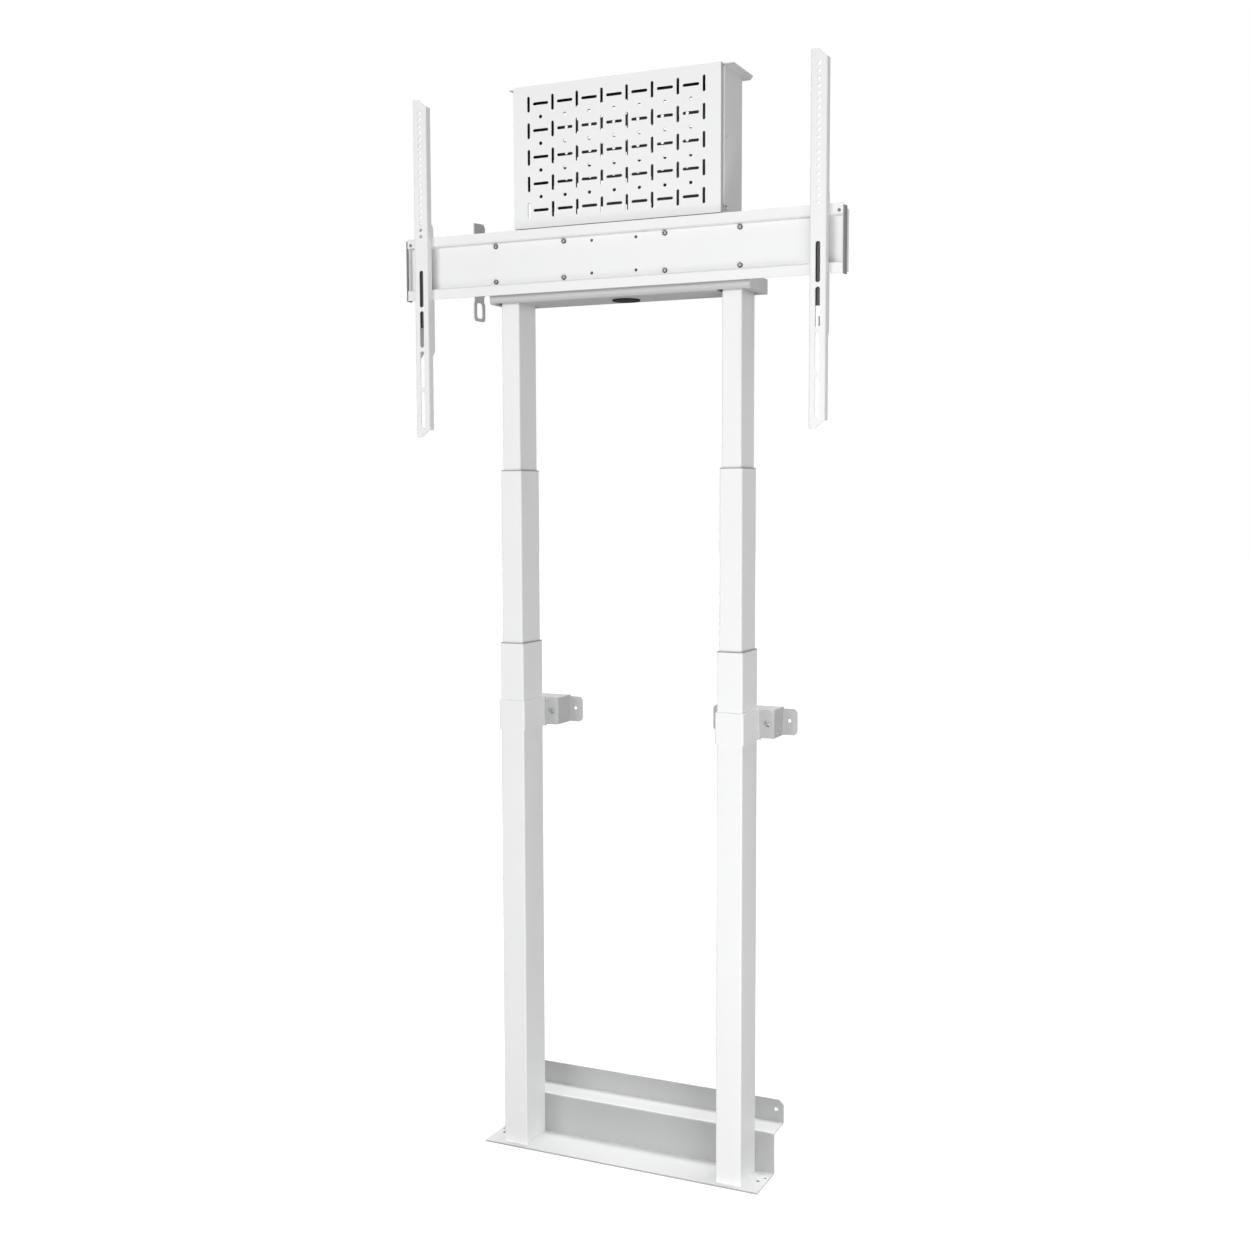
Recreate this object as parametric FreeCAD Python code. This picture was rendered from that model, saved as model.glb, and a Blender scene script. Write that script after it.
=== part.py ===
import FreeCAD, Part
import math
import os

os.makedirs("parts", exist_ok=True)
V = FreeCAD.Vector

# Sizes are millimetres. X runs along the crossbar, Y to the wall, Z up from the floor.
# The shape is the fully raised stand.

# Clearances
GAP = 0.3
RUNNING_FIT = 0.05
SLIDE_FIT = 0.25
SHAFT_ROOM = 1.0
WHEEL_ROOM = 0.5

# A cutter runs this far past the face it opens
PAST = 1.0

# Two places this close count as one when an edge is picked
SAME_PLACE = 0.01

# Columns
STROKE = 650.0
COLUMN_SPACING = 448.0
OUTER_WIDTH = 50.0
OUTER_DEPTH = 80.0
TUBE_WALL = 1.5
TUBE_CORNER = 3.0
SHARPEST_CORNER = 0.5
STAGE_STEP = 3.0
OUTER_TOP = 996.0
MIDDLE_LENGTH = 620.0
RING_HEIGHT = 30.0
RING_LIP = 2.0
BRIDGE = 5.0
TOP_MARGIN = 6.0
STOP_MARGIN = 8.0
NUT_MARGIN = 12.0
SPINDLE_END_MARGIN = 4.0
NUT_TO_SPINDLE = 30.0
SPINDLE_OVERLAP = 40.0
DRIVE_RISE = 23.0

# Base bracket
BASE_LENGTH = 572.0
BASE_FRONT = -52.0
SHEET = 3.0
BEND = 1.0
RISER_FRONT = 40.0
RISER_TOP = 80.7
WALL_Y = 98.0
WALL_FLANGE_TOP = 124.0
WALL_FLANGE_CHAMFER = 9.0
WALL_HOLE_HEIGHT = 104.3
WALL_HOLE_INSET = 15.0
WALL_HOLE_RADIUS = 3.75
FLOOR_HOLE_RADIUS = 3.5
FLOOR_HOLE_INSET = 16.0
FLOOR_HOLE_Y = -4.0
PILOT_HOLE_RADIUS = 2.5
PILOT_HOLE_INSET = 7.0
PILOT_HOLE_Y = 12.0
FOOT_SCREW_Y = 25.0
FOOT_SCREW_RADIUS = 2.4
FOOT_HEAD_RADIUS = 5.0
FOOT_HEAD_HEIGHT = 2.6
FOOT_SCREW_CLEAR = 0.2
FOOT_SCREW_SHORT = 0.5
FOOT_SOCKET_RADIUS = 1.5
FOOT_SOCKET_DEPTH = 1.5

# Wall brackets and collars
BRACKET_BOTTOM = 831.0
BRACKET_TOP = 881.0
BRACKET_WEB = 57.0
BRACKET_TAB = 84.0
BRACKET_HOLE = 69.0
BRACKET_HOLE_RADIUS = 3.5
COLLAR_UNDER = 3.0
COLLAR_OVER = 5.0
COLLAR_EAR_START = 4.0
COLLAR_SCREW = 45.0
COLLAR_SCREW_RADIUS = 2.5
COLLAR_SCREW_HOLE = 2.6
COLLAR_SCREW_LENGTH = 10.0
COLLAR_SCREW_HEAD = (5.5, 3.2)
BRACKET_SCREW_RISE = 2.0
BRACKET_BOSS_RADIUS = 4.5
BRACKET_BOSS_LENGTH = 5.0
BRACKET_CHAMFER = 8.0
BRACKET_CHAMFER_KNEE = 2.3

# Button screws, as shares of the head
HEAD_DOME_SHARE = 0.6
HEAD_SOCKET_SHARE = 0.42
HEAD_SOCKET_DEPTH_SHARE = 0.6

# Spindle drive
LOWER_SPINDLE_RADIUS = 10.0
UPPER_SPINDLE_RADIUS = 7.0
SPINDLE_BORE = 7.5
KEY_LENGTH = 20.0
NUT_HEIGHT = 30.0
LOWER_NUT_RADIUS = 18.0
UPPER_NUT_RADIUS = 15.0
PIPE_RADIUS = 14.0
PIPE_WALL = 2.0
FOOT_PLATE = 5.0
WHEEL_RADIUS = 22.0
WHEEL_WIDTH = 14.0
WORM_RADIUS = 7.0
WORM_LENGTH = 40.0
MOTOR_RADIUS = 21.0
MOTOR_LENGTH = 90.0
GEARBOX_HALF = 32.0
GEARBOX_HEIGHT = 52.0
GEARBOX_FRONT = -27.0
MOTOR_SHAFT_RADIUS = 3.0
MOTOR_SHAFT_DEPTH = 19.0
MOTOR_RIM = 2.0
WORM_TAIL = 6.0
GEARBOX_BACK_WALL = 5.7
SPINDLE_BELOW_LID = 5.0
SPINDLE_COLLAR = 1.5
SPINDLE_COLLAR_HEIGHT = 6.0

# Beam
BEAM_LENGTH = 524.0
BEAM_FRONT = -46.0
BEAM_BACK = 48.0
BEAM_HEIGHT = 26.8
BEAM_SHEET = 2.5
BEAM_BEND = 7.0
BEAM_FLANGE = 14.0
BEAM_DROP_PAST_TUBE = 3.8
TUBE_OPENING_GAP = 3.0
HEAD_PLATE = 4.5
HEAD_PLATE_SIZE = (66.0, 84.0)
GROMMET_RADIUS = 26.0
GROMMET_Y = 5.0
GROMMET_LIP = 3.0
GROMMET_FLANGE = 2.5
GROMMET_BEAD = 2.0
GROMMET_BEAD_HEIGHT = 1.5
GROMMET_WALL = 3.0
GROMMET_SKIN = (1.2, 2.2)
GROMMET_SLIT = 0.8
BEAM_SLOT_X = (58.0, 62.0)
BEAM_SLOT_Y = (-12.0, 8.0)

# Crossbar
BAR_LENGTH = 869.0
BAR_SHEET = 2.5
BAR_LIP_Y = -60.0
BAR_WEB_Y = -50.0
BAR_ABOVE_BEAM = 14.3
BAR_HEIGHT = 117.0
BAR_BOTTOM_LIP = 19.5
BAR_TOP_LIP = 19.0
BAR_SCREW_X = (101.5, 245.0)
BAR_SCREW_LOW = 26.1
BAR_SCREW_HIGH = 92.0
BAR_HOLE_X = 44.5
BAR_HOLE_LOW = 30.5
BAR_HOLE_HIGH = 89.5
BAR_HOLE_RADIUS = 3.0
BAR_BEND = 0.8
BAR_SCREW_HOLE = 3.2
BAR_SCREW_RADIUS = 3.0
BAR_SCREW_LENGTH = 9.5
BAR_SCREW_HEAD = (4.7, 3.5)
BAR_BOSS_RADIUS = 5.0
BAR_BOSS_LENGTH = 4.5
END_PLATE = 3.0
END_PLATE_BACK = -45.0
END_PLATE_UNDER = 1.0
END_PLATE_DROP = 3.5
END_TAB_LENGTH = 10.5
END_TAB_SHEET = 2.5
END_TAB_RISE = 0.5
END_TAB_DROP = 5.5
END_FLANGE_FRONT = -57.0
END_FLANGE_BACK = -25.0
END_FLANGE_RISE = 5.5
END_FLANGE_DROP = 6.5
END_HEAD_RIM = 1.0
END_HEAD_HEIGHT = 0.8
END_STUD_RADIUS = 2.0
END_STUD_INSET = 7.0
END_STUD_DROP = 12.0
UPRIGHT_WIDTH = 30.0
UPRIGHT_FOOT_BACK = -29.0
UPRIGHT_DROP = 12.0
BOX_FOOT_BACK = 50.0
GUSSET_BACK = 20.0
GUSSET_HEIGHT = 50.0
GUSSET_INSET = 9.5

# Screen arms; a rise is a height above the lower edge of the crossbar
ARM_END_INSET = 39.5
ARM_WIDTH = 30.0
ARM_FRONT = -75.0
ARM_DEPTH = 14.7
ARM_SHEET = 2.0
ARM_BEND = 0.8
ARM_BOTTOM_RISE = -262.8
ARM_TOP_RISE = 372.5
ARM_HOLE_COUNT = 20
ARM_HOLE_PITCH = 12.15
ARM_HOLE_TOP = 24.4
ARM_HOLE_RADIUS = 3.3
ARM_SLOT_WIDTH = 8.5
ARM_SLOT_TOP_RISE = 53.5
ARM_SLOT_PITCH = 76.4
ARM_SLOT_LENGTH = 69.3
ARM_SLOT_COUNT = 4
ARM_TOP_CUT = (15.0, 14.0)
ARM_BOTTOM_CUT = (18.0, 15.0)
HOOK_SHEET = 2.0
HOOK_TOP_RISE = 143.5
HOOK_BOTTOM_RISE = -110.5
HOOK_WEB_LOW_RISE = 63.5
HOOK_WEB_HIGH_RISE = 108.5
HOOK_FOOT_HEIGHT = 5.0
HOOK_DEPTH = 26.0
HOOK_TIP_ROOM = 0.8
HOOK_TIP_GAP = 1.0
HOOK_TOP_STEP = 2.3
HOOK_TOP_CHAMFER = 7.0
HOOK_TAPER_HEIGHT = 11.0
HOOK_TAPER = 11.0
HOOK_FOOT_RISE = 12.3
LATCH_TOP_RISE = 55.5
LATCH_BOTTOM_RISE = -53.5
LATCH_FRONT = -70.5
LATCH_STEM = 3.3
LATCH_STEM_DEPTH = 2.5
LATCH_STEM_X = 3.0
LATCH_STEM_INSET = 1.5
LATCH_GRIP_X = 3.5
LATCH_GRIP_HALF = 3.2
LATCH_GRIP_DEPTH = 11.0
LATCH_LIP_ROOM = 2.0
LATCH_NOSE = 12.0
LATCH_GRIP_HIGH_RISE = -72.5
LATCH_GRIP_LOW_RISE = -88.5
SPRING_Y = -66.0
SPRING_RADIUS = 3.2
SPRING_WIRE = 0.45
SPRING_TURNS = 9.0
SPRING_PIN_RISE = 88.5
SPRING_PIN_RADIUS = 1.5
SPRING_END_ROOM = 0.05

# Media box
PANEL_WIDTH = 414.0
PANEL_FRONT = -46.5
PANEL_BOTTOM_RISE = 121.0
PANEL_TOP_RISE = 380.0
PANEL_SHEET = 1.5
PANEL_RETURN = 12.0
PANEL_EAR = 14.0
PANEL_EAR_CLEAR = 1.5
BOX_BACK = 60.0
BOX_FRONT = -26.0
EDGE_INSET = 3.0
EDGE_REACH = 5.0
EDGE_BOTTOM_RISE = 138.5
HINGE_EAR_RADIUS = 5.5
HINGE_EAR = 2.5
HINGE_EAR_DEPTH = 13.0
HINGE_PIN_PAST = 0.2
HINGE_HEAD_RADIUS = 4.0
HINGE_HEAD = 2.0
LUG_RADIUS = 4.5
LUG_REACH = 4.0
LUG_Y = -21.0
LUG_RISES = (131.5, 253.5)
SIDE_PORT_Y = (-5.0, 25.0)
SIDE_PORT_RISES = (150.5, 179.5)
BOX_BOTTOM_RISE = 116.0
HINGE_Y = -38.0
HINGE_RISE = 127.5
PIN_RADIUS = 2.5
VENT_PITCH_X = 50.0
VENT_PITCH_Z = 48.4
VENT_TOP_RISE = 346.8
VENT_SLOT_UPRIGHT = 28.7
VENT_SLOT_ACROSS = 31.5
VENT_WIDTH = 5.3
VENT_HOLE_RADIUS = 3.3
BACK_VENT_RISE = 3.8
VENT_COLUMNS = 8
VENT_ROWS = 5
COVER_LENGTH = 448.0
COVER_FRONT = -30.0
COVER_BACK = 90.0
COVER_SHEET = 2.0
COVER_CORNER_ACROSS = 12.0
COVER_CORNER_ALONG = 20.0

# Control unit
CASE_HALF = 80.0
CASE_DEPTH = 30.0
CASE_RISES = (37.5, 82.5)
CASE_WALL = 2.0
CASE_FLANGE_HALF = 55.0
CASE_FLANGE_RISES = (23.5, 96.5)
BOARD_X = (-60.0, 50.0)
BOARD_SHEET = 1.6
BOARD_MARGIN = 2.0
POST_LENGTH = 4.0
POST_RADIUS = 2.5
POST_INSET = 6.0
POST_RISE = 7.0
CHIPS = (
    ((-50.0, -30.0), 11.4, (8.0, 28.0)),
    ((-20.0, 0.0), 2.4, (10.0, 22.0)),
    ((10.0, 38.0), 9.4, (6.0, 16.0)),
)
INLET_INSET = 5.0
INLET_RISE = 8.0
INLET_DEPTH = 20.0
INLET_RIM = (2.0, 3.0)
INLET_RIM_SHEET = 1.5
SOCKET_DEPTH = 14.0
SOCKET_HALF = 7.0
SOCKET_MARGIN = 4.0
BLADES = ((-3.0, -6.0), (-3.0, 6.0), (3.0, 0.0))
BLADE_HALF = (1.0, 2.0)
BLADE_BACK = 3.0

# Cable hook plate
HOOK_PLATE_BEAM_GAP = 13.0
HOOK_PLATE_FRONT = -28.0
HOOK_PLATE_BACK = 12.0
HOOK_PLATE_TOP_RISE = 145.5
HOOK_RING_FRONT = -30.0
HOOK_RING_BOTTOM_RISE = -40.5
HOOK_RING_WIDTH = 40.5
HOOK_RING_HEIGHT = 38.0
HOOK_RING_CORNER = 9.0
HOOK_RING_HOLE = (22.5, 29.5)
HOOK_RING_HOLE_CORNER = 6.0
HOOK_RING_RIM = 5.5
HOOK_NECK_INSET = 4.0
HOOK_PLATE_INSET = 5.5
HOOK_PLATE_SLOPE = 2.0
HOOK_PLATE_CHAMFER = 6.0
HOOK_FLANGE_INSET = 18.0

# Sizes that follow from the ones above
COLUMN_X = COLUMN_SPACING / 2.0
SIDES = (("left", -1), ("right", 1))
STAGE_TRAVEL = STROKE / 2.0
MIDDLE_WIDTH = OUTER_WIDTH - 2.0 * STAGE_STEP
MIDDLE_DEPTH = OUTER_DEPTH - 2.0 * STAGE_STEP
INNER_WIDTH = MIDDLE_WIDTH - 2.0 * STAGE_STEP
INNER_DEPTH = MIDDLE_DEPTH - 2.0 * STAGE_STEP
MIDDLE_TOP = OUTER_TOP + STAGE_TRAVEL + TOP_MARGIN
MIDDLE_BOTTOM = MIDDLE_TOP - MIDDLE_LENGTH
BRIDGE_TOP = MIDDLE_BOTTOM + BRIDGE
INNER_BOTTOM = BRIDGE_TOP + STAGE_TRAVEL + STOP_MARGIN
BEAM_BOTTOM = OUTER_TOP + STROKE - BEAM_DROP_PAST_TUBE
BEAM_TOP = BEAM_BOTTOM + BEAM_HEIGHT
BEAM_CEILING = BEAM_TOP - BEAM_SHEET
HEAD_PLATE_BOTTOM = BEAM_CEILING - HEAD_PLATE
LOWER_NUT_BOTTOM = MIDDLE_BOTTOM - STAGE_TRAVEL - NUT_MARGIN - NUT_HEIGHT
LOWER_SPINDLE_BOTTOM = LOWER_NUT_BOTTOM - SPINDLE_END_MARGIN
UPPER_NUT_TOP = MIDDLE_TOP - NUT_MARGIN
UPPER_NUT_BOTTOM = UPPER_NUT_TOP - NUT_HEIGHT
LOWER_SPINDLE_TOP = UPPER_NUT_BOTTOM - NUT_TO_SPINDLE
UPPER_SPINDLE_BOTTOM = LOWER_SPINDLE_TOP - SPINDLE_OVERLAP
GEARBOX_TOP = BEAM_TOP + GEARBOX_HEIGHT
DRIVE_Z = BEAM_TOP + DRIVE_RISE
WORM_Y = WHEEL_RADIUS + WORM_RADIUS + GAP
BAR_BOTTOM = BEAM_BOTTOM + BAR_ABOVE_BEAM
BAR_TOP = BAR_BOTTOM + BAR_HEIGHT
BAR_JOG_LOW = BAR_BOTTOM + BAR_BOTTOM_LIP
BAR_JOG_HIGH = BAR_TOP - BAR_TOP_LIP
BAR_BACK = BAR_WEB_Y + BAR_SHEET
ARM_BOTTOM = BAR_BOTTOM + ARM_BOTTOM_RISE
ARM_TOP = BAR_BOTTOM + ARM_TOP_RISE
ARM_SLOT_TOP = BAR_BOTTOM + ARM_SLOT_TOP_RISE
HOOK_TOP = BAR_BOTTOM + HOOK_TOP_RISE
HOOK_BOTTOM = BAR_BOTTOM + HOOK_BOTTOM_RISE
HOOK_WEB_LOW = BAR_BOTTOM + HOOK_WEB_LOW_RISE
HOOK_WEB_HIGH = BAR_BOTTOM + HOOK_WEB_HIGH_RISE
LATCH_TOP = BAR_BOTTOM + LATCH_TOP_RISE
LATCH_BOTTOM = BAR_BOTTOM + LATCH_BOTTOM_RISE
LATCH_GRIP_HIGH = BAR_BOTTOM + LATCH_GRIP_HIGH_RISE
LATCH_GRIP_LOW = BAR_BOTTOM + LATCH_GRIP_LOW_RISE
SPRING_PIN_Z = BAR_BOTTOM + SPRING_PIN_RISE
PANEL_BOTTOM = BAR_BOTTOM + PANEL_BOTTOM_RISE
PANEL_TOP = BAR_BOTTOM + PANEL_TOP_RISE
EDGE_BOTTOM = BAR_BOTTOM + EDGE_BOTTOM_RISE
BOX_BOTTOM = BAR_BOTTOM + BOX_BOTTOM_RISE
HINGE_Z = BAR_BOTTOM + HINGE_RISE
VENT_TOP = BAR_BOTTOM + VENT_TOP_RISE
HOOK_PLATE_TOP = BAR_BOTTOM + HOOK_PLATE_TOP_RISE
HOOK_RING_BOTTOM = BAR_BOTTOM + HOOK_RING_BOTTOM_RISE
HOOK_PLATE_X = -(BEAM_LENGTH / 2.0 + HOOK_PLATE_BEAM_GAP + UPRIGHT_WIDTH)
CASE_LOW, CASE_HIGH = (BAR_BOTTOM + rise for rise in CASE_RISES)
ARM_BACK = ARM_FRONT + ARM_DEPTH
ARM_INNER = ARM_WIDTH / 2.0 - ARM_SHEET
ARM_X = BAR_LENGTH / 2.0 - ARM_END_INSET
HOOK_TIP_FRONT = BAR_LIP_Y + BAR_SHEET + GAP
HOOK_TIP_BACK = BAR_WEB_Y - HOOK_TIP_GAP
PANEL_HALF = PANEL_WIDTH / 2.0
BOX_INNER = PANEL_HALF - PANEL_SHEET


def span(low, high):
    return min(low, high), max(low, high)


def box(x0, x1, y0, y1, z0, z1):
    x0, x1 = span(x0, x1)
    return Part.makeBox(x1 - x0, y1 - y0, z1 - z0, V(x0, y0, z0))


def rod(radius, start, axis, length):
    return Part.makeCylinder(radius, length, start, axis)


def rod_z(radius, x, y, z0, z1):
    return rod(radius, V(x, y, z0), V(0, 0, 1), z1 - z0)


def rod_y(radius, x, z, y0, y1):
    return rod(radius, V(x, y0, z), V(0, 1, 0), y1 - y0)


def rod_x(radius, y, z, x0, x1):
    x0, x1 = span(x0, x1)
    return rod(radius, V(x0, y, z), V(1, 0, 0), x1 - x0)


def fused(shapes):
    return shapes[0].multiFuse(shapes[1:]).removeSplitter()


def without(shape, cutters):
    return shape.cut(Part.makeCompound(cutters)).removeSplitter()


def save(name, solids):
    shape = solids[0]
    if len(solids) > 1:
        shape = Part.makeCompound(solids)
    shape.exportStep("parts/" + name + ".step")


def placed(points, plane, offset):
    places = {
        "yz": lambda a, b: V(offset, a, b),
        "xz": lambda a, b: V(a, offset, b),
        "xy": lambda a, b: V(a, b, offset),
    }
    return [places[plane](a, b) for a, b in points]


def lengthwise(plane, length):
    return {"yz": V(length, 0, 0), "xz": V(0, length, 0), "xy": V(0, 0, length)}[plane]


def prism(points, plane, start, end):
    start, end = span(start, end)
    corners = placed(points, plane, start)
    wire = Part.makePolygon(corners + corners[:1])
    return Part.Face(wire).extrude(lengthwise(plane, end - start))


def direction(a, b):
    length = math.hypot(b[0] - a[0], b[1] - a[1])
    return (b[0] - a[0]) / length, (b[1] - a[1]) / length


def shifted(points, distance):
    headings = [direction(a, b) for a, b in zip(points, points[1:])]
    moved = []
    for index, point in enumerate(points):
        before = headings[max(index - 1, 0)]
        after = headings[min(index, len(headings) - 1)]
        normal = (-before[1] - after[1], before[0] + after[0])
        scale = distance / (1.0 + before[0] * after[0] + before[1] * after[1])
        moved.append((point[0] + normal[0] * scale, point[1] + normal[1] * scale))
    return moved


def rounded_edges(points, radii, plane, offset):
    edges = []
    current = points[0]
    for index in range(1, len(points) - 1):
        corner = points[index]
        before = direction(points[index - 1], corner)
        after = direction(corner, points[index + 1])
        cosine = before[0] * after[0] + before[1] * after[1]
        reach = radii[index - 1] * math.tan(math.acos(max(-1.0, min(1.0, cosine))) / 2.0)
        start = (corner[0] - before[0] * reach, corner[1] - before[1] * reach)
        end = (corner[0] + after[0] * reach, corner[1] + after[1] * reach)
        turn = 1.0 if before[0] * after[1] - before[1] * after[0] > 0.0 else -1.0
        centre = (
            start[0] - before[1] * turn * radii[index - 1],
            start[1] + before[0] * turn * radii[index - 1],
        )
        outward = direction(centre, corner)
        middle = (
            centre[0] + outward[0] * radii[index - 1],
            centre[1] + outward[1] * radii[index - 1],
        )
        line = placed([current, start], plane, offset)
        arc = placed([start, middle, end], plane, offset)
        edges.append(Part.makeLine(line[0], line[1]))
        edges.append(Part.Arc(arc[0], arc[1], arc[2]).toShape())
        current = end
    last = placed([current, points[-1]], plane, offset)
    edges.append(Part.makeLine(last[0], last[1]))
    return edges


def folded(points, thickness, bend, plane, start, end):
    """Bent sheet: the path is one face, the thickness lies to its left, or to its right if negative."""
    start, end = span(start, end)
    other = shifted(points, thickness)
    near = []
    far = []
    for index in range(1, len(points) - 1):
        before = direction(points[index - 1], points[index])
        after = direction(points[index], points[index + 1])
        turn = before[0] * after[1] - before[1] * after[0]
        inside = bend
        outside = bend + abs(thickness)
        far_is_inside = turn * thickness > 0.0
        near.append(outside if far_is_inside else inside)
        far.append(inside if far_is_inside else outside)
    edges = rounded_edges(points, near, plane, start)
    cap = placed([points[-1], other[-1]], plane, start)
    edges.append(Part.makeLine(cap[0], cap[1]))
    edges += rounded_edges(other[::-1], far[::-1], plane, start)
    cap = placed([other[0], points[0]], plane, start)
    edges.append(Part.makeLine(cap[0], cap[1]))
    return Part.Face(Part.Wire(edges)).extrude(lengthwise(plane, end - start))


def rounded_block(x, width, depth, corner, z0, z1):
    block = box(x - width / 2.0, x + width / 2.0, -depth / 2.0, depth / 2.0, z0, z1)
    upright = [edge for edge in block.Edges if abs(edge.tangentAt(0.0).z) > 0.5]
    return block.makeFillet(corner, upright)


def ring(x, outer, inner, corner, z0, z1):
    hollow = rounded_block(x, inner[0], inner[1], max(corner - TUBE_WALL, SHARPEST_CORNER), z0 - PAST, z1 + PAST)
    return without(rounded_block(x, outer[0], outer[1], corner, z0, z1), [hollow])


def stadium(x, z, length, width, upright, y0, y1):
    half = (length - width) / 2.0
    radius = width / 2.0
    if upright:
        bar = box(x - radius, x + radius, y0, y1, z - half, z + half)
        ends = [(x, z - half), (x, z + half)]
    else:
        bar = box(x - half, x + half, y0, y1, z - radius, z + radius)
        ends = [(x - half, z), (x + half, z)]
    return fused([bar] + [rod_y(radius, a, b, y0, y1) for a, b in ends])


def grown(size, amount):
    return size[0] + 2.0 * amount, size[1] + 2.0 * amount


OUTER = (OUTER_WIDTH, OUTER_DEPTH)
MIDDLE = (MIDDLE_WIDTH, MIDDLE_DEPTH)
INNER = (INNER_WIDTH, INNER_DEPTH)


def make_tube(x, size, z0, z1):
    outside = rounded_block(x, size[0], size[1], TUBE_CORNER, z0, z1)
    bore = grown(size, -TUBE_WALL)
    inside = rounded_block(x, bore[0], bore[1], TUBE_CORNER - TUBE_WALL, z0 - PAST, z1 + PAST)
    return without(outside, [inside])


def make_glide(x, size, sliding, top):
    """Ring inside the top of a tube, with a lip on its end; the next tube slides through."""
    bore = grown(sliding, SLIDE_FIT)
    body = ring(x, grown(size, -TUBE_WALL), bore, TUBE_CORNER - TUBE_WALL, top - RING_HEIGHT, top)
    lip = ring(x, size, bore, TUBE_CORNER, top, top + RING_LIP)
    return fused([body, lip])


def make_shoe(x, size, around, bottom):
    """Ring round the bottom of a tube that slides in the tube outside it."""
    outside = grown(around, -TUBE_WALL - SLIDE_FIT)
    return ring(x, outside, size, TUBE_CORNER - TUBE_WALL, bottom, bottom + RING_HEIGHT)


def make_base():
    path = [
        (BASE_FRONT, SHEET),
        (RISER_FRONT, SHEET),
        (RISER_FRONT, RISER_TOP),
        (WALL_Y - SHEET, RISER_TOP),
        (WALL_Y - SHEET, WALL_FLANGE_TOP),
    ]
    half = BASE_LENGTH / 2.0
    body = folded(path, -SHEET, BEND, "yz", -half, half)
    cutters = []
    for side in (-1, 1):
        corner = [
            (side * half, WALL_FLANGE_TOP - WALL_FLANGE_CHAMFER),
            (side * half, WALL_FLANGE_TOP + PAST),
            (side * (half - WALL_FLANGE_CHAMFER - PAST), WALL_FLANGE_TOP + PAST),
        ]
        cutters.append(prism(corner, "xz", WALL_Y - SHEET - PAST, WALL_Y + PAST))
        hole_x = side * (half - WALL_HOLE_INSET)
        cutters.append(
            rod_y(WALL_HOLE_RADIUS, hole_x, WALL_HOLE_HEIGHT, WALL_Y - SHEET - PAST, WALL_Y + PAST)
        )
        floor_x = side * (half - FLOOR_HOLE_INSET)
        cutters.append(rod_z(FLOOR_HOLE_RADIUS, floor_x, FLOOR_HOLE_Y, -PAST, SHEET + PAST))
        pilot_x = side * (half - PILOT_HOLE_INSET)
        cutters.append(rod_z(PILOT_HOLE_RADIUS, pilot_x, PILOT_HOLE_Y, -PAST, SHEET + PAST))
        for y in (-FOOT_SCREW_Y, FOOT_SCREW_Y):
            x = side * COLUMN_X
            shank = FOOT_SCREW_RADIUS + FOOT_SCREW_CLEAR
            head = FOOT_HEAD_RADIUS + FOOT_SCREW_CLEAR
            cutters.append(rod_z(shank, x, y, -PAST, SHEET + PAST))
            cutters.append(Part.makeCone(head, shank, FOOT_HEAD_HEIGHT, V(x, y, 0.0), V(0, 0, 1)))
    return without(body, cutters)


def make_foot_screws():
    screws = []
    for side in (-1, 1):
        for y in (-FOOT_SCREW_Y, FOOT_SCREW_Y):
            x = side * COLUMN_X
            low = V(x, y, FOOT_SCREW_CLEAR)
            head = Part.makeCone(FOOT_HEAD_RADIUS, FOOT_SCREW_RADIUS, FOOT_HEAD_HEIGHT, low, V(0, 0, 1))
            shank = rod_z(FOOT_SCREW_RADIUS, x, y, FOOT_SCREW_CLEAR, SHEET + FOOT_PLATE - FOOT_SCREW_SHORT)
            socket = rod_z(FOOT_SOCKET_RADIUS, x, y, 0.0, FOOT_SCREW_CLEAR + FOOT_SOCKET_DEPTH)
            screws.append(without(fused([head, shank]), [socket]))
    return screws


def make_standpipe(side):
    x = side * COLUMN_X
    plate_top = SHEET + FOOT_PLATE
    size = grown(OUTER, -TUBE_WALL)
    plate = rounded_block(x, size[0], size[1], TUBE_CORNER - TUBE_WALL, SHEET, plate_top)
    pipe = rod_z(PIPE_RADIUS, x, 0.0, plate_top, LOWER_NUT_BOTTOM)
    cutters = [rod_z(LOWER_SPINDLE_RADIUS + SHAFT_ROOM, x, 0.0, plate_top, LOWER_NUT_BOTTOM + PAST)]
    for y in (-FOOT_SCREW_Y, FOOT_SCREW_Y):
        cutters.append(rod_z(FOOT_SCREW_RADIUS, x, y, SHEET - PAST, plate_top - FOOT_SCREW_SHORT))
    return without(fused([plate, pipe]), cutters)


def make_nut(x, radius, bore, bottom):
    body = rod_z(radius, x, 0.0, bottom, bottom + NUT_HEIGHT)
    return without(body, [rod_z(bore + RUNNING_FIT, x, 0.0, bottom - PAST, bottom + NUT_HEIGHT + PAST)])


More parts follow.
